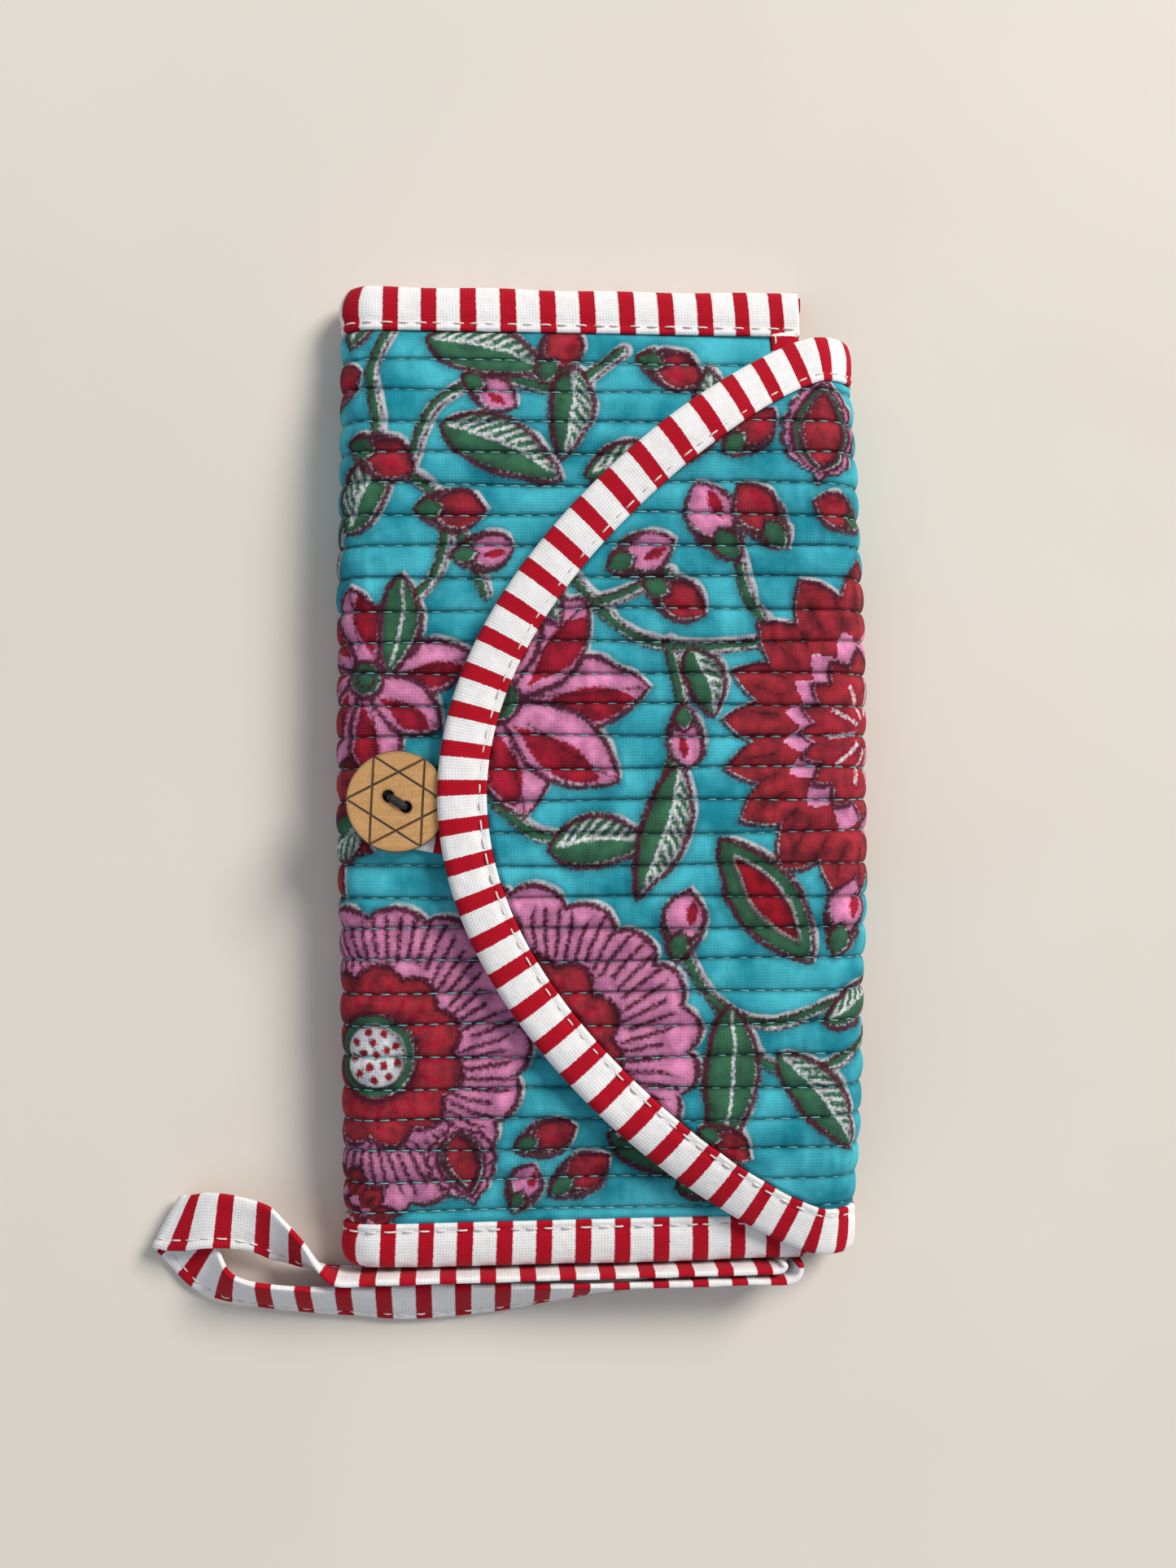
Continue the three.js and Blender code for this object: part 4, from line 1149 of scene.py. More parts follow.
@dataclass(frozen=True)
class PlainCotton(WovenCotton):
    """Undyed or plain dyed cotton, used for the lining and the zip's tapes."""

    name: str = "lining_cotton"
    light: str = "#e9e2d0"
    dark: str = "#dcd2bc"

    def build(self) -> bpy.types.Material:
        """The plain cloth's material."""
        made, tree, shader = new_material(self.name, self.roughness, sheen=self.sheen, gloss=self.gloss)
        cloth, weave = self.weave(tree)
        fleck = add_node(tree, "TexNoise", {"Scale": 0.4, "Detail": 5.0}, {"Vector": cloth}).outputs["Fac"]
        colour = add_node(tree, "MixRGB", {"Color1": linear(self.light), "Color2": linear(self.dark)},
                          {"Fac": fleck}).outputs["Color"]
        self.finish(tree, shader, cloth, weave, colour)
        return made


@dataclass(frozen=True)
class SewingThread:
    """Twisted cotton sewing thread: a soft gleam with fine slanting plies, 0.3 mm apart."""

    name: str
    colour: str
    # the thread's colour in shade, painted into the grooves between its plies
    dark: str

    def build(self) -> bpy.types.Material:
        """The thread's material."""
        made, tree, shader = new_material(self.name, 0.62, sheen=0.2)
        place = add_node(tree, "TexCoord").outputs["Object"]
        plies = add_node(tree, "TexWave",
                         {"bands_direction": "DIAGONAL", "Scale": 2 * math.pi / 20 / (0.3 * MM),
                                           "Distortion": 1.0}, {"Vector": place}).outputs["Color"]
        # Painted shade: the colour darkens to the dark colour in the grooves between the plies, and the bump
        # gives the same plies relief.
        colour = add_node(tree, "MixRGB", {"Color1": linear(self.dark), "Color2": linear(self.colour)},
                          {"Fac": plies}).outputs["Color"]
        tree.links.new(colour, shader.inputs["Base Color"])
        bump = add_node(tree, "Bump", {"Strength": 0.5, "Distance": 0.05 * MM}, {"Height": plies})
        tree.links.new(bump.outputs["Normal"], shader.inputs["Normal"])
        return made


@dataclass(frozen=True)
class LaserCutWood:
    """Thin laser-cut wood: pale brown with fine grain, scorched dark along the engraving and the cut edge."""

    light: str = "#cfa26a"
    dark: str = "#b3834c"
    scorch: str = "#3b2413"
    grain_mm: float = 1.1

    def build(self) -> bpy.types.Material:
        """The button's material."""
        made, tree, shader = new_material("laser_cut_wood", 0.58)
        place = add_node(tree, "TexCoord").outputs["Object"]
        along = add_node(tree, "Mapping", {"Rotation": (0, 0, 0.3), "Scale": (0.12, 1.0, 1.0)},
                         {"Vector": place})
        fibres = add_node(tree, "TexNoise",
                          {"Scale": 1 / (self.grain_mm * MM), "Detail": 6.0, "Roughness": 0.7},
                          {"Vector": along.outputs["Vector"]}).outputs["Fac"]
        pores = add_node(tree, "TexNoise", {"Scale": 3.5 / MM, "Detail": 2.0},
                         {"Vector": place}).outputs["Fac"]
        mixed = add_node(tree, "Math", {"operation": "ADD"}, {0: fibres, 1: pores}).outputs[0]
        grain = add_node(tree, "MapRange", {"From Min": 0.75, "From Max": 1.25}, {"Value": mixed}).outputs[0]
        wood = add_node(tree, "MixRGB", {"Color1": linear(self.light), "Color2": linear(self.dark)},
                        {"Fac": grain}).outputs["Color"]
        burn = add_node(tree, "Attribute", {"attribute_name": "scorch"}).outputs["Fac"]
        colour = add_node(tree, "MixRGB", {"Color2": linear(self.scorch)},
                          {"Fac": burn, "Color1": wood}).outputs["Color"]
        tree.links.new(colour, shader.inputs["Base Color"])
        bump = add_node(tree, "Bump", {"Strength": 0.4, "Distance": 0.08 * MM}, {"Height": mixed})
        tree.links.new(bump.outputs["Normal"], shader.inputs["Normal"])
        return made


@dataclass(frozen=True)
class MouldedNylon:
    """Moulded nylon of the zip's coils: dyed through, smooth, with a soft shine."""

    colour: str = "#b3122f"
    shade: str = "#8f0c24"

    def build(self) -> bpy.types.Material:
        """The coils' material."""
        made, tree, shader = new_material("moulded_nylon", 0.38, ior=1.53)
        place = add_node(tree, "TexCoord").outputs["Object"]
        cloudy = add_node(tree, "TexNoise", {"Scale": 0.4 / MM, "Detail": 3.0},
                          {"Vector": place}).outputs["Fac"]
        colour = add_node(tree, "MixRGB", {"Color1": linear(self.colour), "Color2": linear(self.shade)},
                          {"Fac": cloudy}).outputs["Color"]
        tree.links.new(colour, shader.inputs["Base Color"])
        return made


@dataclass(frozen=True)
class NickelPlate:
    """Nickel-plated die-cast zinc of the slider: bright, warm grey, with fine handling scratches."""

    colour: str = "#c9c4b8"
    worn: str = "#a39d90"

    def build(self) -> bpy.types.Material:
        """The slider's material."""
        made, tree, shader = new_material("nickel_plate", 0.28, metallic=1.0)
        place = add_node(tree, "TexCoord").outputs["Object"]
        rubbed = add_node(tree, "TexNoise", {"Scale": 0.9 / MM, "Detail": 5.0},
                          {"Vector": place}).outputs["Fac"]
        colour = add_node(tree, "MixRGB", {"Color1": linear(self.colour), "Color2": linear(self.worn)},
                          {"Fac": rubbed}).outputs["Color"]
        tree.links.new(colour, shader.inputs["Base Color"])
        rough = add_node(tree, "MapRange", {"To Min": 0.2, "To Max": 0.42}, {"Value": rubbed}).outputs[0]
        tree.links.new(rough, shader.inputs["Roughness"])
        return made


class Finishes:
    """Every finish on the wallet, each built once."""

    def __init__(self) -> None:
        """Builds the materials."""
        self.printed = PrintedCotton().build()
        self.striped = StripedCotton().build()
        self.lining = PlainCotton().build()
        self.zip_tape = PlainCotton(name="zip_tape_cotton", light="#b3132f", dark="#950e26").build()
        self.quilt_thread = SewingThread("quilting_thread", "#7dbcc0", "#4d979f").build()
        self.white_thread = SewingThread("white_sewing_thread", "#efe9e4", "#cfc5c0").build()
        self.black_thread = SewingThread("button_thread", "#17131a", "#060507").build()
        self.wood = LaserCutWood().build()
        self.nylon = MouldedNylon().build()
        self.nickel = NickelPlate().build()


def dress(piece: bpy.types.Object, material: bpy.types.Material, slot: str, *nodes: str) -> bpy.types.Object:
    """Gives a piece its material and hides the CAD nodes that it stands for."""
    piece.data.materials.append(material)
    if nodes:
        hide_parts(*nodes)
    LOG.info("%s: %d vertices", piece.name, len(piece.data.vertices))
    return piece


class Bend(Enum):
    """The two stretches of spine cloth that bend, and the bodies that they bend between."""

    LOWER = ("case", "spine")
    UPPER = ("spine", "flap")

    def apply(self, piece: bpy.types.Object) -> None:
        """Bakes the piece's transform into its mesh; the piece is not bent."""
        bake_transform(piece)


# ------------ quilted panels
@dataclass
class QuiltedPanels:
    """The printed outer cloth with its batting, and the lining behind it, over case, spine and flap."""

    finishes: Finishes
    run_step: float = 0.55
    tuck: float = 3.5
    mouth_tuck: float = 1.2
    lining_tuck: float = 1.0
    lining_start: float = 3.0
    quilting_start: float = 7.0
    fill: float = 0.35
    cloth_back: float = 2.45
    lining_front: float = 2.55

    def printed(self, name: str, shape: Callable[[Array, Array, Array], Array], run: Array, y: Array,
                origin: float, inset: Array) -> bpy.types.Object:
        """One printed, quilted and padded stretch of the strip.

        Args:
            name: the piece's name.
            shape: turns run, Y and depth into places.
            run: grid of runs along the strip.
            y: grid of Y.
            origin: length of cloth before run 0, so that the print and the quilting carry on.
            inset: how far in from a bound edge each point lies.

        Returns:
            The new piece.
        """
        whole = run + origin
        depth = QUILT.press(QUILT.depth(whole, y), inset)
        outer = shape(run, y, depth)
        inner = shape(run, y, np.full_like(run, self.cloth_back))
        dyes = BlockPrint.finish(-whole, y)
        return slab(name, outer, inner, {**flat_cloth(whole, y), "crease": QUILT.crease(whole, y), **dyes})

    def lined(self, name: str, shape: Callable[[Array, Array, Array], Array], run: Array, y: Array,
              origin: float) -> bpy.types.Object:
        """One stretch of lining, puffed between the same rows of stitching."""
        rows, columns = (np.unique(np.append(np.arange(0, n, 2), n - 1)) for n in run.shape)
        run, y = run[np.ix_(rows, columns)], y[np.ix_(rows, columns)]
        whole = run + origin
        puff = 0.45 * (QUILT.valley - QUILT.depth(whole, y))
        outer = shape(run, y, SIZES.panel - 0.25 + puff * 0.8)
        inner = shape(run, y, np.full_like(run, self.lining_front))
        return slab(name, outer, inner, flat_cloth(whole, y))

    @staticmethod
    def case_shape(run: Array, y: Array, depth: Array) -> Array:
        """Settled places on the case."""
        return SETTLING.apply(STRIP.case(run, y, depth))

    @staticmethod
    def flap_shape(run: Array, y: Array, depth: Array) -> Array:
        """Settled places on the spine and flap."""
        return BUTTON_LIFT.apply(SETTLING.apply(STRIP.flap(run, y, depth)))

    def case_grid(self, start: float, finish: float, over: float) -> tuple[Array, Array]:
        """Runs and Y over the case."""
        rows = QUILT.rows(-SIZES.cloth_end - over, SIZES.cloth_end + over)
        run, row = np.meshgrid(np.linspace(start, finish, int((finish - start) / self.run_step) + 1), rows,
                               indexing="ij")
        return run, QUILT.place(row, run)

    def flap_grid(self, start: float, inset: float) -> tuple[Array, Array]:
        """Runs and Y over the spine and flap, each row ending under the flap's binding."""
        margin = SIZES.binding_wide - self.tuck
        rows = QUILT.rows(SIZES.flap_bottom + margin, SIZES.flap_top - margin)
        furthest = EDGE.reach_at(QUILT.first + rows * QUILT.pitch, inset)
        share = np.linspace(0, 1, int((SIZES.spine_x - SIZES.apex_x - start) / self.run_step) + 1)
        run = start + share[:, None] * (furthest - start)[None]
        return run, QUILT.place(rows[None], run + SIZES.case_run + SIZES.spine_run)

    def quarter_grid(self) -> tuple[Array, Array]:
        """Runs and Y over the lower half of the spine."""
        margin = SIZES.binding_wide - self.tuck
        rows = QUILT.rows(SIZES.flap_bottom + margin, SIZES.flap_top - margin)
        run, row = np.meshgrid(np.linspace(-SIZES.spine_run, -SIZES.spine_run / 2, 34), rows, indexing="ij")
        return run, QUILT.place(row, run + SIZES.case_run + SIZES.spine_run)

    def stitch_lines(self, shape: Callable[[Array, Array, Array], Array], low: float, high: float,
                     reach: Callable[[float], tuple[float, float]], origin: float,
                     depth: float) -> list[tuple[Array, Array]]:
        """Rows of quilting stitches as paths with the cloth's normals.

        Args:
            shape: turns run, Y and depth into places.
            low: lowest Y of the rows.
            high: highest Y of the rows.
            reach: first and last run of the row at a Y.
            origin: length of cloth before run 0.
            depth: depth of the stitches in the strip.

        Returns:
            A path and its normals for each row.
        """
        lines = []
        sign = 1.0 if depth < SIZES.panel / 2 else -1.0
        for number in QUILT.numbers(low, high):
            first, last = reach(QUILT.first + number * QUILT.pitch)
            run = np.arange(first, last, 0.5)
            if len(run) < 8:
                continue
            y = QUILT.line(number, run + origin)
            path = shape(run, y, np.full_like(run, depth))
            lifted = shape(run, y, np.full_like(run, depth - 0.5 * sign))
            lines.append((path, unit(lifted - path)))
        return lines

    @staticmethod
    def carry(piece: bpy.types.Object, bend: Optional[Bend]) -> None:
        """Rides a piece on the case, or bakes its transform where it lies over the spine."""
        if bend is None:
            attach(piece, "case")
        else:
            bend.apply(piece)

    def build(self) -> None:
        """Builds every panel, its lining and its rows of stitching."""
        spine_origin = SIZES.case_run + SIZES.spine_run
        case = self.case_grid(self.mouth_tuck, SIZES.case_run, self.tuck)
        mouth = case[0] + SIZES.binding_wide - (SIZES.mouth_x - SIZES.mouth_binding_x)
        flap = self.flap_grid(-SIZES.spine_run / 2, SIZES.binding_wide - self.tuck)
        spine = self.quarter_grid()
        for part, shape, grid, origin, inset, bend in (
                ("case", self.case_shape, case, 0.0, np.minimum(SIZES.end - np.abs(case[1]), mouth), None),
                ("flap", self.flap_shape, flap, spine_origin, EDGE.inset_of(*flap), Bend.UPPER),
                ("spine", self.flap_shape, spine, spine_origin, EDGE.inset_of(*spine), Bend.LOWER)):
            piece = self.printed(f"{part}_quilted_cloth", shape, *grid, origin, inset)
            dress(piece, self.finishes.printed, "printed_cotton", f"{part}_outer_cloth", f"{part}_batting")
            self.carry(piece, bend)
        self.build_linings(spine_origin)
        self.build_stitches(spine_origin)

    def build_linings(self, spine_origin: float) -> None:
        """Builds the lining of case, spine and flap."""
        case = self.case_grid(self.lining_start, SIZES.case_run, self.tuck)
        flap = self.flap_grid(-SIZES.spine_run / 2, SIZES.binding_wide - self.lining_tuck)
        for part, shape, grid, origin, bend in (
                ("case", self.case_shape, case, 0.0, None),
                ("flap", self.flap_shape, flap, spine_origin, Bend.UPPER),
                ("spine", self.flap_shape, self.quarter_grid(), spine_origin, Bend.LOWER)):
            piece = self.lined(f"{part}_lining_cloth", shape, *grid, origin)
            self.carry(dress(piece, self.finishes.lining, "lining_cotton", f"{part}_lining"), bend)

    def build_stitches(self, spine_origin: float) -> None:
        """Builds the rows of quilting stitches on both faces."""
        f, half = self.finishes, SIZES.spine_run / 2
        low, high = SIZES.flap_bottom + SIZES.binding_wide, SIZES.flap_top - SIZES.binding_wide
        reach = lambda y: float(EDGE.reach_at(np.array([y]), SIZES.binding_wide)[0])
        outside, inside = QUILT.valley - 0.12, SIZES.panel - 0.15
        stretches = [
            ("case", self.case_shape, -SIZES.cloth_end, SIZES.cloth_end,
             lambda y: (self.quilting_start, SIZES.case_run), 0.0,
             outside, "quilt_thread"),
            ("flap", self.flap_shape, low, high, lambda y: (-half, reach(y)), spine_origin, outside,
             "quilt_thread"),
            ("spine", self.flap_shape, low, high, lambda y: (-2 * half, -half), spine_origin, outside,
             "quilt_thread"),
            ("flap_lining", self.flap_shape, low, high, lambda y: (-half, reach(y)), spine_origin, inside,
             "white_thread"),
            ("spine_lining", self.flap_shape, low, high, lambda y: (-2 * half, -half), spine_origin, inside,
             "white_thread"),
        ]
        for seed, (label, shape, bottom, top, ends, origin, depth, thread) in enumerate(stretches):
            lines = self.stitch_lines(shape, bottom, top, ends, origin, depth)
            piece = make_mesh(label + "_quilting_stitches", *QUILT.thread.stitches(lines, seed))
            dress(piece, getattr(f, thread),
                  "printed_cotton" if thread == "quilt_thread" else "lining_cotton")
            bends = {"case": None, "flap": Bend.UPPER, "flap_lining": Bend.UPPER}
            self.carry(piece, bends.get(label, Bend.LOWER))


# ------------ bindings
@dataclass
class Bindings:
    """The striped cotton bindings: both ends, the pocket's mouth, and the flap's edge round to the back."""

    finishes: Finishes
    stitch: Thread = Thread(0.4, 2.5, 1.1)
    stitch_inset: float = 1.4

    def section(self) -> tuple[Array, Array]:
        """The flap binding's section: distance in from the edge, and height over the flap's underside."""
        wide, thick = SIZES.binding_wide, SIZES.panel
        knots = np.array([
            (0.0, thick * 0.5), (0.15, thick * 0.78), (0.9, thick + 0.02), (2.6, thick + 0.42),
            (4.8, thick + 0.5),
            (6.8, thick + 0.36), (8.0, thick + 0.05), (9.1, thick + 0.12), (wide, thick - 0.25),
            (wide + 0.05, thick - 0.8), (wide - 0.2, 0.45), (wide - 0.7, 0.05), (8.0, 0.12), (5.0, -0.2),
            (2.4, -0.1), (0.8, thick * 0.08), (0.15, thick * 0.25)])
        fine = rounded(knots)
        return fine[:, 0], fine[:, 1]

    def flap_rings(self, path: Array, run: Array) -> tuple[Array, dict[str, Array]]:
        """Rings of the binding along part of the flap's edge.

        Args:
            path: (run along the strip, y) of the edge.
            run: distance along the edge, which places the stripes.

        Returns:
            The rings, and the cloth coordinates on them.
        """
        inset, height = self.section()
        inward = EDGE.inward(path)
        gather = 0.12 * value_noise(run[:, None] / 2.6, inset[None] / 2.0, 71) * smooth(inset[None] / 3)
        soft = 0.2 * value_noise(run[:, None] / 11.0, inset[None] / 9.0, 72)
        flat = path[:, None] + inset[None, :, None] * inward[:, None]
        top = height[None] > SIZES.panel * 0.5
        depth = SIZES.panel - height[None] - (gather + soft) * top
        places = QuiltedPanels.flap_shape(flat[..., 0], flat[..., 1], depth)
        girth = np.cumsum(np.hypot(np.diff(inset, prepend=inset[:1]), np.diff(height, prepend=height[:1])))
        skew = 0.06 * inset[None] * np.sin(run[:, None] / 31.0)
        return places, flat_cloth(run[:, None] + skew, girth[None])

    def build_flap(self) -> None:
        """Builds the flap's binding with its two stretches on the lower half of the spine."""
        path = EDGE.outline()
        run = arc_lengths(path)
        cut = -SIZES.spine_run / 2
        on_spine = path[:, 0] < cut
        first = int(np.argmin(on_spine))
        last = len(path) - int(np.argmin(on_spine[::-1]))
        stretches = [("spine_binding_lower_end", slice(0, first + 1), Bend.LOWER, ("spine_binding_bottom",)),
                     ("flap_edge_binding", slice(first, last), Bend.UPPER, ("flap_binding",)),
                     ("spine_binding_upper_end", slice(last - 1, None), Bend.LOWER, ("spine_binding_top",))]
        rings, fields = self.flap_rings(path, run)
        for name, part, bend, nodes in stretches:
            piece = sweep(name, rings[part], {k: v[part] for k, v in fields.items()})
            bend.apply(dress(piece, self.finishes.striped, "striped_cotton", *nodes))
        inset = SIZES.binding_wide - self.stitch_inset
        seam = path + inset * EDGE.inward(path)
        for name, part, bend in (("flap_binding_stitches", slice(first, last), Bend.UPPER),
                                 ("spine_binding_stitches_lower", slice(0, first), Bend.LOWER),
                                 ("spine_binding_stitches_upper", slice(last, None), Bend.LOWER)):
            low, high = (QuiltedPanels.flap_shape(seam[part, 0], seam[part, 1], np.full(len(seam[part]), d))
                         for d in (-0.02, -0.6))
            piece = make_mesh(name, *self.stitch.stitches([(low, unit(high - low))], 8))
            bend.apply(dress(piece, self.finishes.white_thread, "striped_cotton"))

    def build_ends(self) -> None:
        """Builds the binding over each end, from the front's mouth round the fold to the spine."""
        back_edge = SIZES.front_run + SIZES.fold_run + SIZES.spine_x - SIZES.fold_x
        run = np.linspace(0, back_edge - 0.15, 290)
        wide, end, middle = SIZES.binding_wide, SIZES.end, SIZES.fold_radius
        # distance in from the end of the case, and depth below its outer face
        knots = np.array([
            (wide + 0.1, 1.0), (wide + 0.05, 0.15), (wide - 0.6, -0.32), (wide - 1.6, -0.1),
            (wide - 3.2, -0.6),
            (wide - 5.4, -0.62), (2.6, -0.15), (1.1, 0.9), (0.3, 2.6), (0.02, 4.8), (0.0, middle + 0.04),
            (1.3, middle + 0.02), (2.5, middle - 0.3), (2.6, 5.2), (2.9, 2.8), (5.0, 1.9), (wide - 1.0, 1.8)])
        fine = rounded(knots)
        girth = arc_lengths(fine)
        turn = np.clip((run - SIZES.front_run) / SIZES.fold_radius, 0, math.pi)
        back = np.maximum(run - SIZES.front_run - SIZES.fold_run, 0)
        from_mouth = np.minimum(run, SIZES.front_run) + SIZES.fold_radius * np.sin(turn) - back
        for name, side, node in (("end_binding_upper", 1, "end_binding_top"),
                                 ("end_binding_lower", -1, "end_binding_bottom")):
            gather = 0.1 * value_noise(run[:, None] / 2.4, fine[None, :, 0] / 2.0, 80 + side)
            soft = 0.25 * value_noise(run[:, None] / 13.0, fine[None, :, 0] / 9.0, 83 + side)
            shown = fine[None, :, 1] < 1.2
            depth = fine[None, :, 1] - (gather + soft) * shown
            y = side * (end - fine[None, :, 0] - soft * 1.3 * (fine[None, :, 0] < 2))
            rings = QuiltedPanels.case_shape(run[:, None], y, depth)
            lean = 0.05 * fine[None, :, 0] * np.sin(from_mouth[:, None] / 37.0 + side)
            offset = 2.6 if side > 0 else 1.0
            piece = sweep(name, rings, flat_cloth(from_mouth[:, None] + lean + offset, girth[None]))
            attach(dress(piece, self.finishes.striped, "striped_cotton", node), "case")
            seam_y = np.full_like(run, side * (end - wide + self.stitch_inset))
            low, high = (QuiltedPanels.case_shape(run, seam_y, np.full_like(run, d)) for d in (-0.16, -0.6))
            stitches = make_mesh(name + "_stitches", *self.stitch.stitches([(low, unit(high - low))], 9))
            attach(dress(stitches, self.finishes.white_thread, "striped_cotton"), "case")

    def build_mouth(self) -> None:
        """Builds the binding of the pocket's mouth, hidden under the closed flap."""
        y = np.arange(-SIZES.cloth_end - 1.5, SIZES.cloth_end + 1.6, 0.8)
        wide, thick, top = SIZES.mouth_x - SIZES.mouth_binding_x, SIZES.panel, SIZES.case_thick
        knots = np.array([
            (0.0, thick * 0.5), (0.25, 0.5), (1.2, -0.15), (3.0, -0.35), (5.0, -0.1), (wide - 0.3, 0.15),
            (wide, 0.7), (wide, thick - 0.9), (wide - 0.5, thick + 0.1), (3.4, thick + 0.25),
            (1.2, thick + 0.1),
            (0.25, thick - 0.5)])
        fine = rounded(knots)
        wave = 0.2 * value_noise(y[:, None] / 9.0, fine[None, :, 0] / 9.0, 91)
        x, z = SIZES.mouth_x - fine[None, :, 0], top - fine[None, :, 1] + wave
        rings = SETTLING.apply(np.stack(np.broadcast_arrays(x, y[:, None], z), -1))
        piece = sweep("mouth_edge_binding", rings, flat_cloth(y[:, None], arc_lengths(fine)[None]))
        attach(dress(piece, self.finishes.striped, "striped_cotton", "mouth_binding"), "case")
        at = lambda up: SETTLING.apply(np.stack([np.full_like(y, SIZES.mouth_binding_x + 1.0), y,
                                                 np.full_like(y, top + up)], -1))
        stitches = make_mesh("mouth_binding_stitches",
                             *self.stitch.stitches([(at(0.05), unit(at(1) - at(0)))], 12))
        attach(dress(stitches, self.finishes.white_thread, "striped_cotton"), "case")

    def build(self) -> None:
        """Builds every binding."""
        self.build_ends()
        self.build_mouth()
        self.build_flap()


# ------------ button and loop
@dataclass
class ButtonFastening:
    """The engraved wooden button, the thread that holds it and the cloth loop that hooks round it."""

    finishes: Finishes
    holes_apart: float = 4.1
    hole_radius: float = 1.2
    turn: float = -0.57
    groove_half: float = 0.15
    groove_deep: float = 0.22
    star_turn: float = 57.0
    loop_wide: float = 5.0
    loop_reach: float = 16.5

    def __post_init__(self) -> None:
        """Takes the button's place from the frame."""
        low, high = box_mm("button")
        self.centre = (low + high) / 2
        self.radius = (high[0] - low[0]) / 2
        self.low, self.high = low[2], high[2]

    def star_distance(self, x: Array, y: Array) -> Array:
        """Distance to the nearest side of two engraved triangles that touch the rim."""
        nearest = np.full(x.shape, 99.0)
        corners = [self.radius * np.array([math.cos(a), math.sin(a)])
                   for a in np.radians(self.star_turn + 60.0 * np.arange(6))]
        for k in range(6):
            a, b = corners[k], corners[(k + 2) % 6]
            way = b - a
            t = np.clip(((x - a[0]) * way[0] + (y - a[1]) * way[1]) / (way @ way), 0, 1)
            nearest = np.minimum(nearest, np.hypot(x - a[0] - t * way[0], y - a[1] - t * way[1]))
        return nearest

    def holes(self) -> list[Array]:
        """The centre of each hole, from the button's centre."""
        way = np.array([math.cos(self.turn), math.sin(self.turn)]) * self.holes_apart / 2
        return [-way, way]

    def build_button(self) -> None:
        """Builds the disc: a grid that closes on itself, engraved on top and pierced twice."""
        round_ = 300
        turn = np.linspace(0, 2 * np.pi, round_, endpoint=False)
        bevel = 0.22
        top = np.linspace(0.02, self.radius - bevel, 96)
        side = [(self.radius - 0.06, self.high - 0.08), (self.radius, self.high - bevel),
                (self.radius, self.low + bevel), (self.radius - bevel, self.low)]
        under = np.linspace(self.radius - bevel, 0.02, 14)[1:]
        radii = np.concatenate([top, [r for r, _ in side], under])
        levels = np.concatenate([np.full(len(top), self.high), [z for _, z in side],
                                 np.full(len(under), self.low)])
        x, y = radii[:, None] * np.cos(turn), radii[:, None] * np.sin(turn)
        z = np.repeat(levels[:, None], round_, axis=1)
        away = self.star_distance(x, y)
        on_top = (np.arange(len(radii)) < len(top))[:, None]
        z = z - on_top * self.groove_deep * (1 - smooth((away - self.groove_half * 0.5) / self.groove_half))
        scorch = on_top * (1 - smooth((away - self.groove_half * 0.7) / 0.26)) * 0.95
        edge = ((radii > self.radius - 0.12)
                * 0.9)[:, None] + 0.35 * smooth((radii - self.radius + 0.9) / 0.9)[:, None]
        ring = sum(np.exp(-(((np.hypot(x - h[0], y - h[1]) - self.hole_radius) / 0.25) ** 2))
                   for h in self.holes())
        scorch = np.clip(np.maximum(np.maximum(scorch, edge), 0.75 * ring), 0, 1)
        places = np.stack([x + self.centre[0], y + self.centre[1], z], -1)
        disc = sweep("engraved_button", places, {"scorch": scorch})
        for number, (dx, dy) in enumerate(self.holes()):
            self.pierce(disc, dx + self.centre[0], dy + self.centre[1], number)
        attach(dress(disc, self.finishes.wood, "button_wood", "button"), "case")

    def pierce(self, disc: bpy.types.Object, x: float, y: float, number: int) -> None:
        """Cuts one thread hole through the disc."""
        heights = np.array([self.low - 1, self.high + 1])
        path = np.stack([np.full(2, x), np.full(2, y), heights], -1)
        cutter = sweep(f"hole_cutter_{number}", tube_rings(path, self.hole_radius, 40), {})
        cut = disc.modifiers.new("thread_hole", "BOOLEAN")
        cut.operation, cut.solver, cut.object = "DIFFERENCE", "EXACT", cutter
        bpy.context.view_layer.update()
        done = bpy.data.meshes.new_from_object(disc.evaluated_get(bpy.context.evaluated_depsgraph_get()))
        disc.modifiers.clear()
        disc.data = done
        bpy.data.objects.remove(cutter)

    def build_thread(self) -> None:
        """Builds the strands between the holes and the wound shank below."""
        a, b = (np.array([h[0] + self.centre[0], h[1] + self.centre[1]]) for h in self.holes())
        across = unit(np.array([[-(b - a)[1], (b - a)[0]]]))[0]
        rings = []
        for offset, lift in ((-0.62, 0.0), (-0.2, 0.16), (0.22, 0.12), (0.62, 0.0)):
            share = np.linspace(0, 1, 15)
            flat = a + (b - a) * (0.5 + (share[:, None] - 0.5) * 1.12) + across * offset * (
                0.75 + 0.25 * np.cos((share[:, None] - 0.5) * 6))
            dip = smooth((np.abs(share - 0.5) - 0.34) / 0.16)
            z = self.high + 0.32 + lift - dip * (self.high - self.low + 1.0)
            rings.append(tube_rings(np.column_stack([flat, z]), 0.3, 8))
        bar = many_tubes(np.array(rings))
        turns = np.linspace(0, 2 * np.pi * 4, 80)
        coil = np.column_stack([self.centre[0] + 2.3 * np.cos(turns), self.centre[1] + 2.3 * np.sin(turns),
                                np.linspace(SIZES.case_thick + 0.1, self.low - 0.15, 80)])
        shank = sweep_parts(tube_rings(coil, 0.35, 8), {})
        piece = merge("button_sewing_thread", [bar, shank])
        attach(dress(piece, self.finishes.black_thread, "button_thread", "button_thread"), "case")

    def build_loop(self) -> None:
        """Builds the folded strip of the loop, flat, with a rounded section."""
        cx, cy = self.centre[0], self.centre[1]
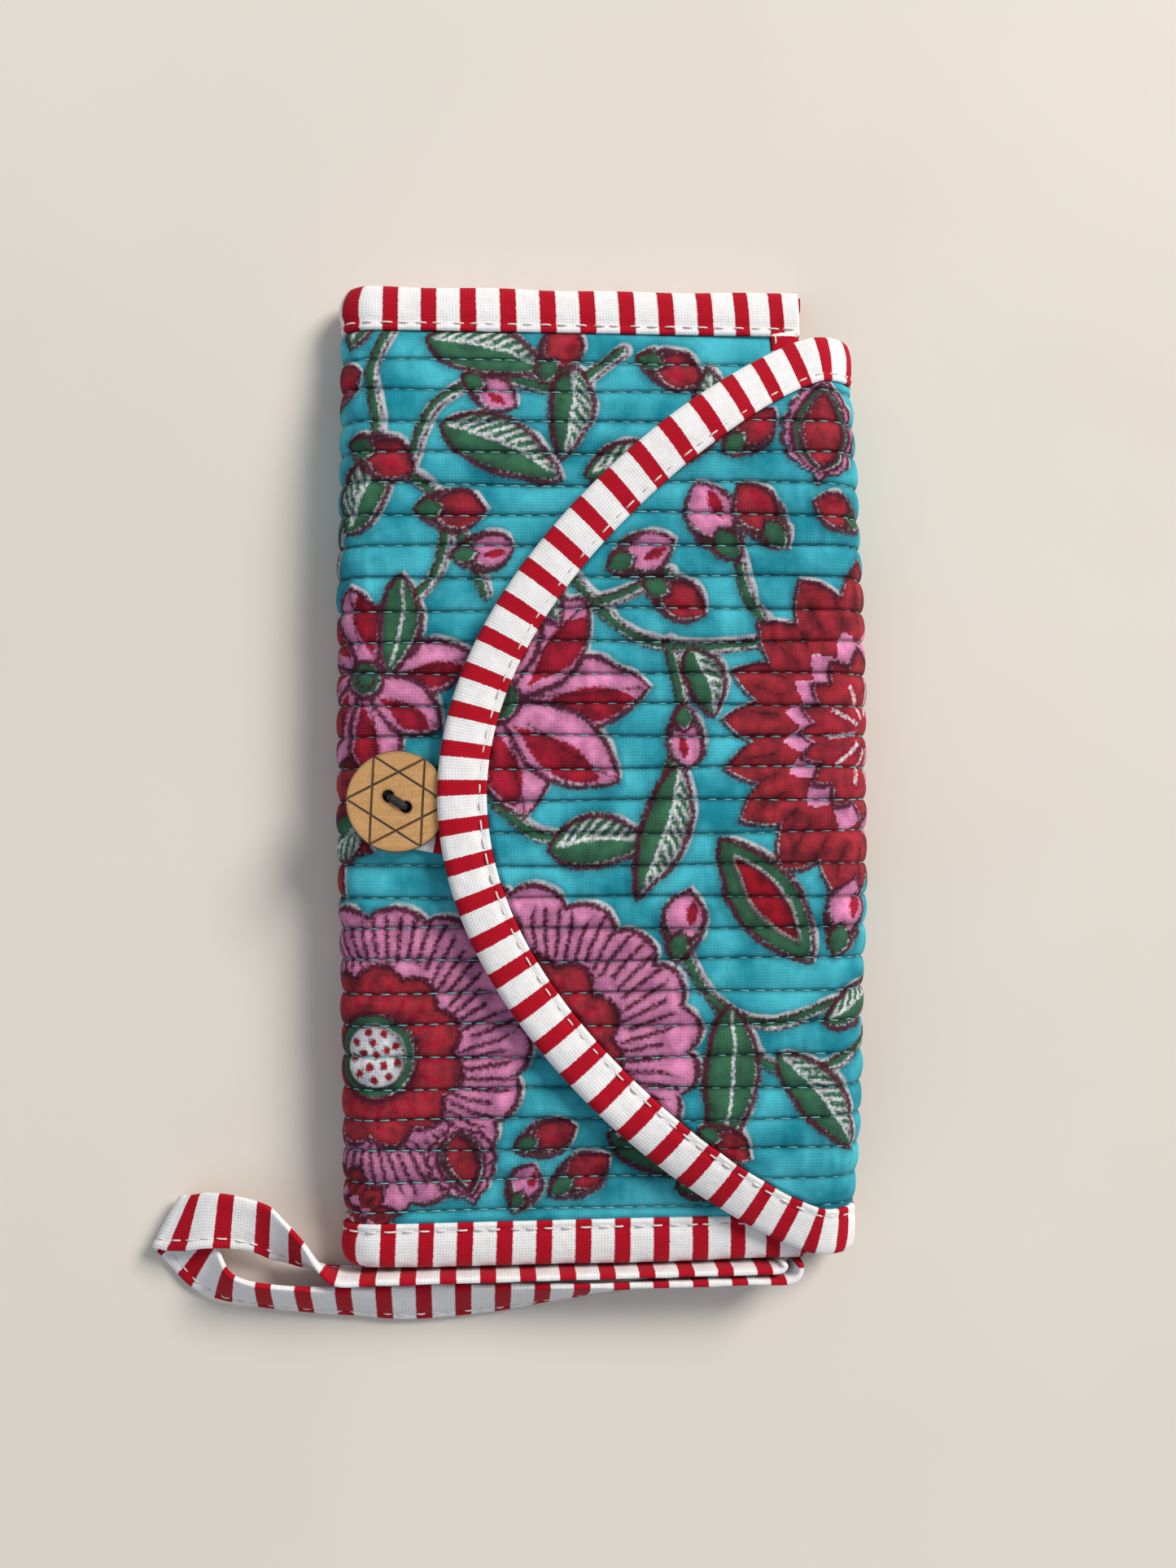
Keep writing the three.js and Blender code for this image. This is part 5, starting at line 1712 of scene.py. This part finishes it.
        # one arm runs close to the button's thread, the other lies wider and shows beside the button
        knots = np.array([(self.loop_reach, -8.9), (12.0, -8.4), (7.0, -7.7), (1.0, -6.4), (-4.2, -4.7),
                          (-6.3, -0.2),
                          (-4.7, 4.4), (0.2, 6.2), (5.0, 4.3), (8.5, 2.2), (12.0, 0.9),
                          (self.loop_reach, 0.0)])
        path = resample(catmull_rom(np.column_stack([knots, np.zeros(len(knots))]), 8)[:, :2] + [cx, cy], 0.6)
        along = unit(np.gradient(path, axis=0))
        side = np.stack([along[:, 1], -along[:, 0]], -1)
        low, high = box_mm("button_loop")
        thick, base = high[2] - low[2], SIZES.case_thick + 0.42
        across, up = flat_oval(20, self.loop_wide, thick, (0.55, 0.7))
        run = arc_lengths(path)
        ripple = 0.06 * value_noise(run[:, None] / 3.0, across[None] / 2.0, 95)
        caught = smooth((path[:, :1] - cx - self.loop_reach + 5.0) / 5.0) * 1.9
        z = base + thick / 2 + up[None] + ripple + caught
        flat = path[:, None] + across[None, :, None] * side[:, None]
        rings = np.concatenate([flat, z[..., None]], -1)
        piece = sweep("cloth_button_loop", rings, flat_cloth(run[:, None] + 0.5, across[None]))
        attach(dress(piece, self.finishes.striped, "striped_cotton", "button_loop"), "flap")

    def build(self) -> None:
        """Builds the whole fastening."""
        self.build_button()
        self.build_thread()
        self.build_loop()


# ------------ wrist strap
@dataclass
class WristStrap:
    """The folded and top-stitched strap, lying on the floor from one end binding stitch to the other."""

    finishes: Finishes
    wide: float = 11.0
    thick: float = 1.6
    length: float = 269.0
    seam_inset: float = 2.1
    thread: Thread = Thread(0.36, 2.3, 1.0)
    # X, Y, Z of the strap's middle, then the direction from its seamed edge to its folded edge
    stations: tuple[tuple[float, ...], ...] = (
        (39.8, -100.3, 6.4, 0, 0, 1), (39.8, -101, 6.4, 0, 0, 1),
        (39.3, -102.5, 6.4, 0, 0, 1), (38.1, -103.4, 6.4, 0, 0, 1),
        (36, -103.85, 6.4, 0, 0.035, 0.999), (28.6, -103.9, 6.4, 0, 0.07, 0.998),
        (18, -104.3, 6.4, 0, 0.139, 0.99), (7.7, -104.9, 6.3, 0, 0.259, 0.966),
        (-2.6, -105.6, 6.1, 0, 0.391, 0.921), (-12, -106.3, 5.7, 0, 0.53, 0.848),
        (-18, -106.9, 5.3, 0, 0.629, 0.777), (-26.4, -107.4, 5, 0, 0.707, 0.707),
        (-33, -107.6, 4.6, 0, 0.766, 0.643), (-40.7, -107.8, 4.6, 0, 0.777, 0.629),
        (-47.7, -107.4, 4.9, 0, 0.719, 0.695), (-55.9, -106.8, 5.2, 0, 0.669, 0.743),
        (-65.8, -105.8, 5.4, 0, 0.629, 0.777), (-73, -104.6, 5.4, 0.078, 0.638, 0.766),
        (-77.4, -103.2, 4.8, 0.22, 0.697, 0.682), (-81.2, -100.5, 2.9, 0.45, 0.825, 0.342),
        (-84.4, -96.8, 1.5, 0.657, 0.747, 0.105), (-86.8, -94, 1.15, 0.697, 0.717, 0.017),
        (-88.3, -92.2, 1.1, 0.48, 0.87, 0), (-88.9, -91.3, 1.5, 0.48, 0.87, 0),
        (-89.04, -90.67, 2.5, 0.48, 0.87, 0), (-88.45, -90.43, 3.5, 0.48, 0.87, 0),
        (-87.2, -90.45, 4, 0.44, 0.89, 0.02), (-84.5, -90.2, 5, 0.3, 0.95, -0.03),
        (-80.5, -89.6, 6.3, 0.15, 0.99, -0.04), (-75.5, -89.9, 6.8, 0.1, 0.989, 0.105),
        (-70, -91.4, 6.6, 0.096, 0.946, 0.309), (-65.6, -94.2, 6, 0.083, 0.825, 0.559),
        (-61.4, -97.1, 6.2, 0.062, 0.613, 0.788), (-58.2, -99.5, 6.4, 0.028, 0.274, 0.961),
        (-55, -101.3, 6.4, 0, 0.017, 1), (-46, -101.5, 6.4, 0, 0, 1),
        (-30, -101.5, 6.4, 0, 0, 1), (-10, -101.5, 6.4, 0, 0, 1),
        (10, -101.5, 6.4, 0, 0, 1), (28, -101.5, 6.4, 0, 0, 1),
        (34.9, -101.5, 6.4, 0, 0, 1), (35.5, -101.42, 6.4, 0, 0, 1),
        (36.05, -101.15, 6.4, 0, 0, 1), (36.4, -100.75, 6.4, 0, 0, 1),
        (36.5, -100.3, 6.4, 0, 0, 1))

    def frames(self) -> tuple[Array, Array, Array]:
        """The strap's middle line, its direction across and its normal."""
        line = catmull_rom(np.array(self.stations), 9)
        middle, across = line[:, :3], unit(line[:, 3:])
        normal = np.cross(unit(np.gradient(middle, axis=0)), across)
        return middle, across / np.linalg.norm(normal, axis=1, keepdims=True), unit(normal)

    def build(self) -> None:
        middle, across, normal = self.frames()
        run = arc_lengths(middle)
        u, v = flat_oval(36, self.wide, self.thick, (0.4, 0.55))
        seam = self.wide / 2 - self.seam_inset
        pinch = 0.34 * np.exp(-(((np.abs(u) - seam) / 0.55) ** 2)) * np.sign(v) * (u < 0)
        ripple = 0.1 * value_noise(run[:, None] / 4.0, u[None] / 4.0, 97)
        height = (v - pinch)[None] + ripple * np.sign(v)[None]
        rings = middle[:, None] + u[None, :, None] * across[:, None] + height[..., None] * normal[:, None]
        rings[..., 2] = np.maximum(rings[..., 2], 0.15)
        piece = sweep("striped_wrist_strap", rings, flat_cloth(run[:, None] + 1.2, u[None]))
        dress(piece, self.finishes.striped, "striped_cotton", "wrist_strap")
        lines = [(middle - seam * across + side * (self.thick / 2 - 0.28) * normal, side * normal)
                 for side in (-1, 1)]
        stitches = make_mesh("wrist_strap_stitches", *self.thread.stitches(lines, 21))
        dress(stitches, self.finishes.white_thread, "striped_cotton")
        LOG.info("strap length %.1f mm", run[-1])
        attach(piece, "case")
        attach(stitches, "case")


# ------------ inside the pocket
@dataclass
class InsidePockets:
    """The card pockets on the back lining and the zipped coin pouch under the front lining."""

    finishes: Finishes
    hem_thread: Thread = Thread(0.3, 2.2, 1.0)
    coil_wire: float = 0.24
    coil_pitch: float = 1.25

    def cloth_panel(self, node: str, name: str, hem_side: int, lift: float, material: bpy.types.Material,
                    slot: str, stripes_along_y: bool) -> None:
        """Builds one sewn cloth panel over its CAD node's place.

        Args:
            node: the CAD node it stands for.
            name: the piece's name.
            hem_side: 1 or -1 for the X side that is hemmed, or 0.
            lift: how far the panel bows in its middle.
            material: its cloth.
            slot: not used.
            stripes_along_y: whether the cloth's stripes repeat along Y.
        """
        low, high = box_mm(node)
        x, y = np.meshgrid(np.linspace(low[0], high[0], 60), np.linspace(low[1], high[1], 150), indexing="ij")
        edge = (high[0] - x) if hem_side > 0 else (x - low[0])
        hem = (smooth(1 - (edge - 2.6) / 0.5) if hem_side else 0 * x) * 0.35
        wave = 0.08 * value_noise(x / 12.0, y / 15.0,
                                  101) + lift * np.sin((x - low[0]) / (high[0] - low[0]) * np.pi)
        bottom = low[2] + 0.06 + wave
        top = bottom + 0.32 + hem
        outer, inner = (SETTLING.apply(np.stack([x, y, z], -1)) for z in (top, bottom))
        cloth = flat_cloth(*((y, x) if stripes_along_y else (x, y)))
        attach(dress(slab(name, outer, inner, cloth), material, slot, node), "case")
        if hem_side:
            row = np.linspace(low[1] + 1, high[1] - 1, 200)
            place = (high[0] - 2.0) if hem_side > 0 else (low[0] + 2.0)
            at = lambda up: SETTLING.apply(np.stack([np.full(200, place), row, np.full(200, top.max() + up)],
                                                    -1))
            stitches = make_mesh(name + "_stitches",
                                 *self.hem_thread.stitches([(at(-0.05), unit(at(1) - at(0)))], 31))
            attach(dress(stitches, self.finishes.white_thread, slot), "case")

    def zip_coil(self, node: str, name: str, side: int) -> None:
        """Builds one nylon spiral, its loops facing the other coil."""
        low, high = box_mm(node)
        radius_x, radius_z = (high[0] - low[0]) / 2 - 0.02, (high[2] - low[2]) / 2 - 0.02
        count = int((high[1] - low[1]) / self.coil_pitch)
        turn = np.linspace(0, 2 * np.pi * count, count * 12)
        wire = self.coil_wire
        path = np.stack([(low[0] + high[0]) / 2 + (radius_x - wire)
                         * np.cos(turn + (math.pi if side > 0 else 0)),
                         low[1] + wire + turn / (2 * np.pi) * self.coil_pitch,
                         (low[2] + high[2]) / 2 + (radius_z - wire) * np.sin(turn)], -1)
        piece = sweep(name, tube_rings(path, wire, 6), {})
        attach(dress(piece, self.finishes.nylon, "zip_coil", node), "case")

    def build(self) -> None:
        """Builds the pockets, the pouch and the zip."""
        f = self.finishes
        self.cloth_panel("card_pocket_1", "lower_card_pocket", 1, 0.0, f.striped, "striped_cotton", True)
        self.cloth_panel("card_pocket_2", "upper_card_pocket", 1, 0.1, f.striped, "striped_cotton", True)
        self.cloth_panel("coin_pouch_cloth", "coin_pouch_panel", 1, -0.1, f.lining, "lining_cotton", False)
        for place, side in (("inner", -1), ("outer", 1)):
            self.cloth_panel(f"zip_tape_{place}", f"woven_zip_tape_{place}", 0, 0.0, f.zip_tape, "zip_tape",
                             False)
            self.zip_coil(f"zip_coil_{place}", f"nylon_zip_coil_{place}", side)
        for node in ("zip_slider", "zip_pull", "zip_bottom_stop"):
            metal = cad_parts[node]
            metal.data.materials.clear()
            metal.data.materials.append(f.nickel)
            LOG.info("%s keeps its CAD shape", node)


# ------------ studio
@dataclass
class Studio:
    """A plain pale floor, soft light and the camera that looks down on the wallet."""

    image_high: float = 1927.0
    focal_pixels: float = 1891.0
    look_at: tuple[float, float, float] = (-3.48, -1.77, 12.0)
    distance: float = 311.5
    lean_left: float = 4.27
    lean_down: float = 0.43
    roll: float = -0.28
    sensor: float = 36.0
    clip: tuple[float, float] = (0.01, 20.0)
    shadow_colour: str = "#d9d3ca"
    floor_colour: str = "#e6e1d9"
    floor_size: float = 8.0
    floor_drop: float = 0.0002
    world_colour: str = "#dfe4ea"
    world_strength: float = 0.38

    def camera(self) -> None:
        """Places the camera almost straight above, leaning slightly to the fold's side."""
        lens = bpy.data.cameras.new("camera")
        lens.sensor_fit = "AUTO"
        lens.sensor_width = self.sensor
        lens.lens = self.sensor * self.focal_pixels / self.image_high
        lens.clip_start, lens.clip_end = self.clip
        eye = bpy.data.objects.new("camera", lens)
        bpy.context.scene.collection.objects.link(eye)
        turn = (Matrix.Rotation(math.radians(-self.lean_left), 4, "Y")
                @ Matrix.Rotation(math.radians(self.lean_down), 4, "X")
                @ Matrix.Rotation(math.radians(self.roll), 4, "Z"))
        target = Matrix.Translation(Vector(self.look_at) * MM)
        eye.matrix_world = target @ turn @ Matrix.Translation((0, 0, self.distance * MM))
        bpy.context.scene.camera = eye

    def floor(self) -> None:
        """Lays a pale, very slightly mottled floor under the wallet."""
        made, tree, shader = new_material("studio_floor", 0.75)
        place = add_node(tree, "TexCoord").outputs["Object"]
        faint = add_node(tree, "TexNoise", {"Scale": 9.0, "Detail": 3.0}, {"Vector": place}).outputs["Fac"]
        colour = add_node(tree, "MixRGB",
                          {"Color1": linear(self.floor_colour), "Color2": linear(self.shadow_colour)},
                          {"Fac": faint}).outputs["Color"]
        tree.links.new(colour, shader.inputs["Base Color"])
        bpy.ops.mesh.primitive_plane_add(size=self.floor_size, location=(0, 0, -self.floor_drop))
        ground = bpy.context.object
        ground.name = "studio_floor"
        ground.data.materials.append(made)

    def light(self, name: str, place: tuple[float, float, float], size: float, power: float,
              colour: str) -> None:
        """Adds one square soft light that faces the wallet."""
        lamp = bpy.data.lights.new(name, "AREA")
        lamp.size, lamp.energy = size, power
        lamp.color = linear(colour)[:3]
        holder = bpy.data.objects.new(name, lamp)
        holder.location = place
        holder.rotation_euler = (-Vector(place)).to_track_quat("-Z", "Y").to_euler()
        bpy.context.scene.collection.objects.link(holder)

    def build(self) -> None:
        """Builds the studio."""
        self.camera()
        self.floor()
        self.light("window_light", (1.9, 1.75, 1.9), 1.25, 115.0, "#fff8ef")
        self.light("room_fill", (-1.6, -0.6, 2.0), 2.4, 10.0, "#eef3ff")
        world = bpy.data.worlds.new("soft_room")
        world.use_nodes = True
        sockets = world.node_tree.nodes["Background"].inputs
        sockets["Color"].default_value = linear(self.world_colour)
        sockets["Strength"].default_value = self.world_strength
        bpy.context.scene.world = world
        bpy.context.scene.view_settings.view_transform = "Standard"


def main() -> None:
    """Builds the studio, then the wallet from the strap and the outside in."""
    logging.basicConfig(level=logging.INFO, format="%(name)s: %(message)s", stream=sys.stdout)
    Studio().build()
    finishes = Finishes()
    for assembly in (WristStrap, QuiltedPanels, Bindings, ButtonFastening, InsidePockets):
        assembly(finishes).build()


if __name__ == "__main__":
    main()
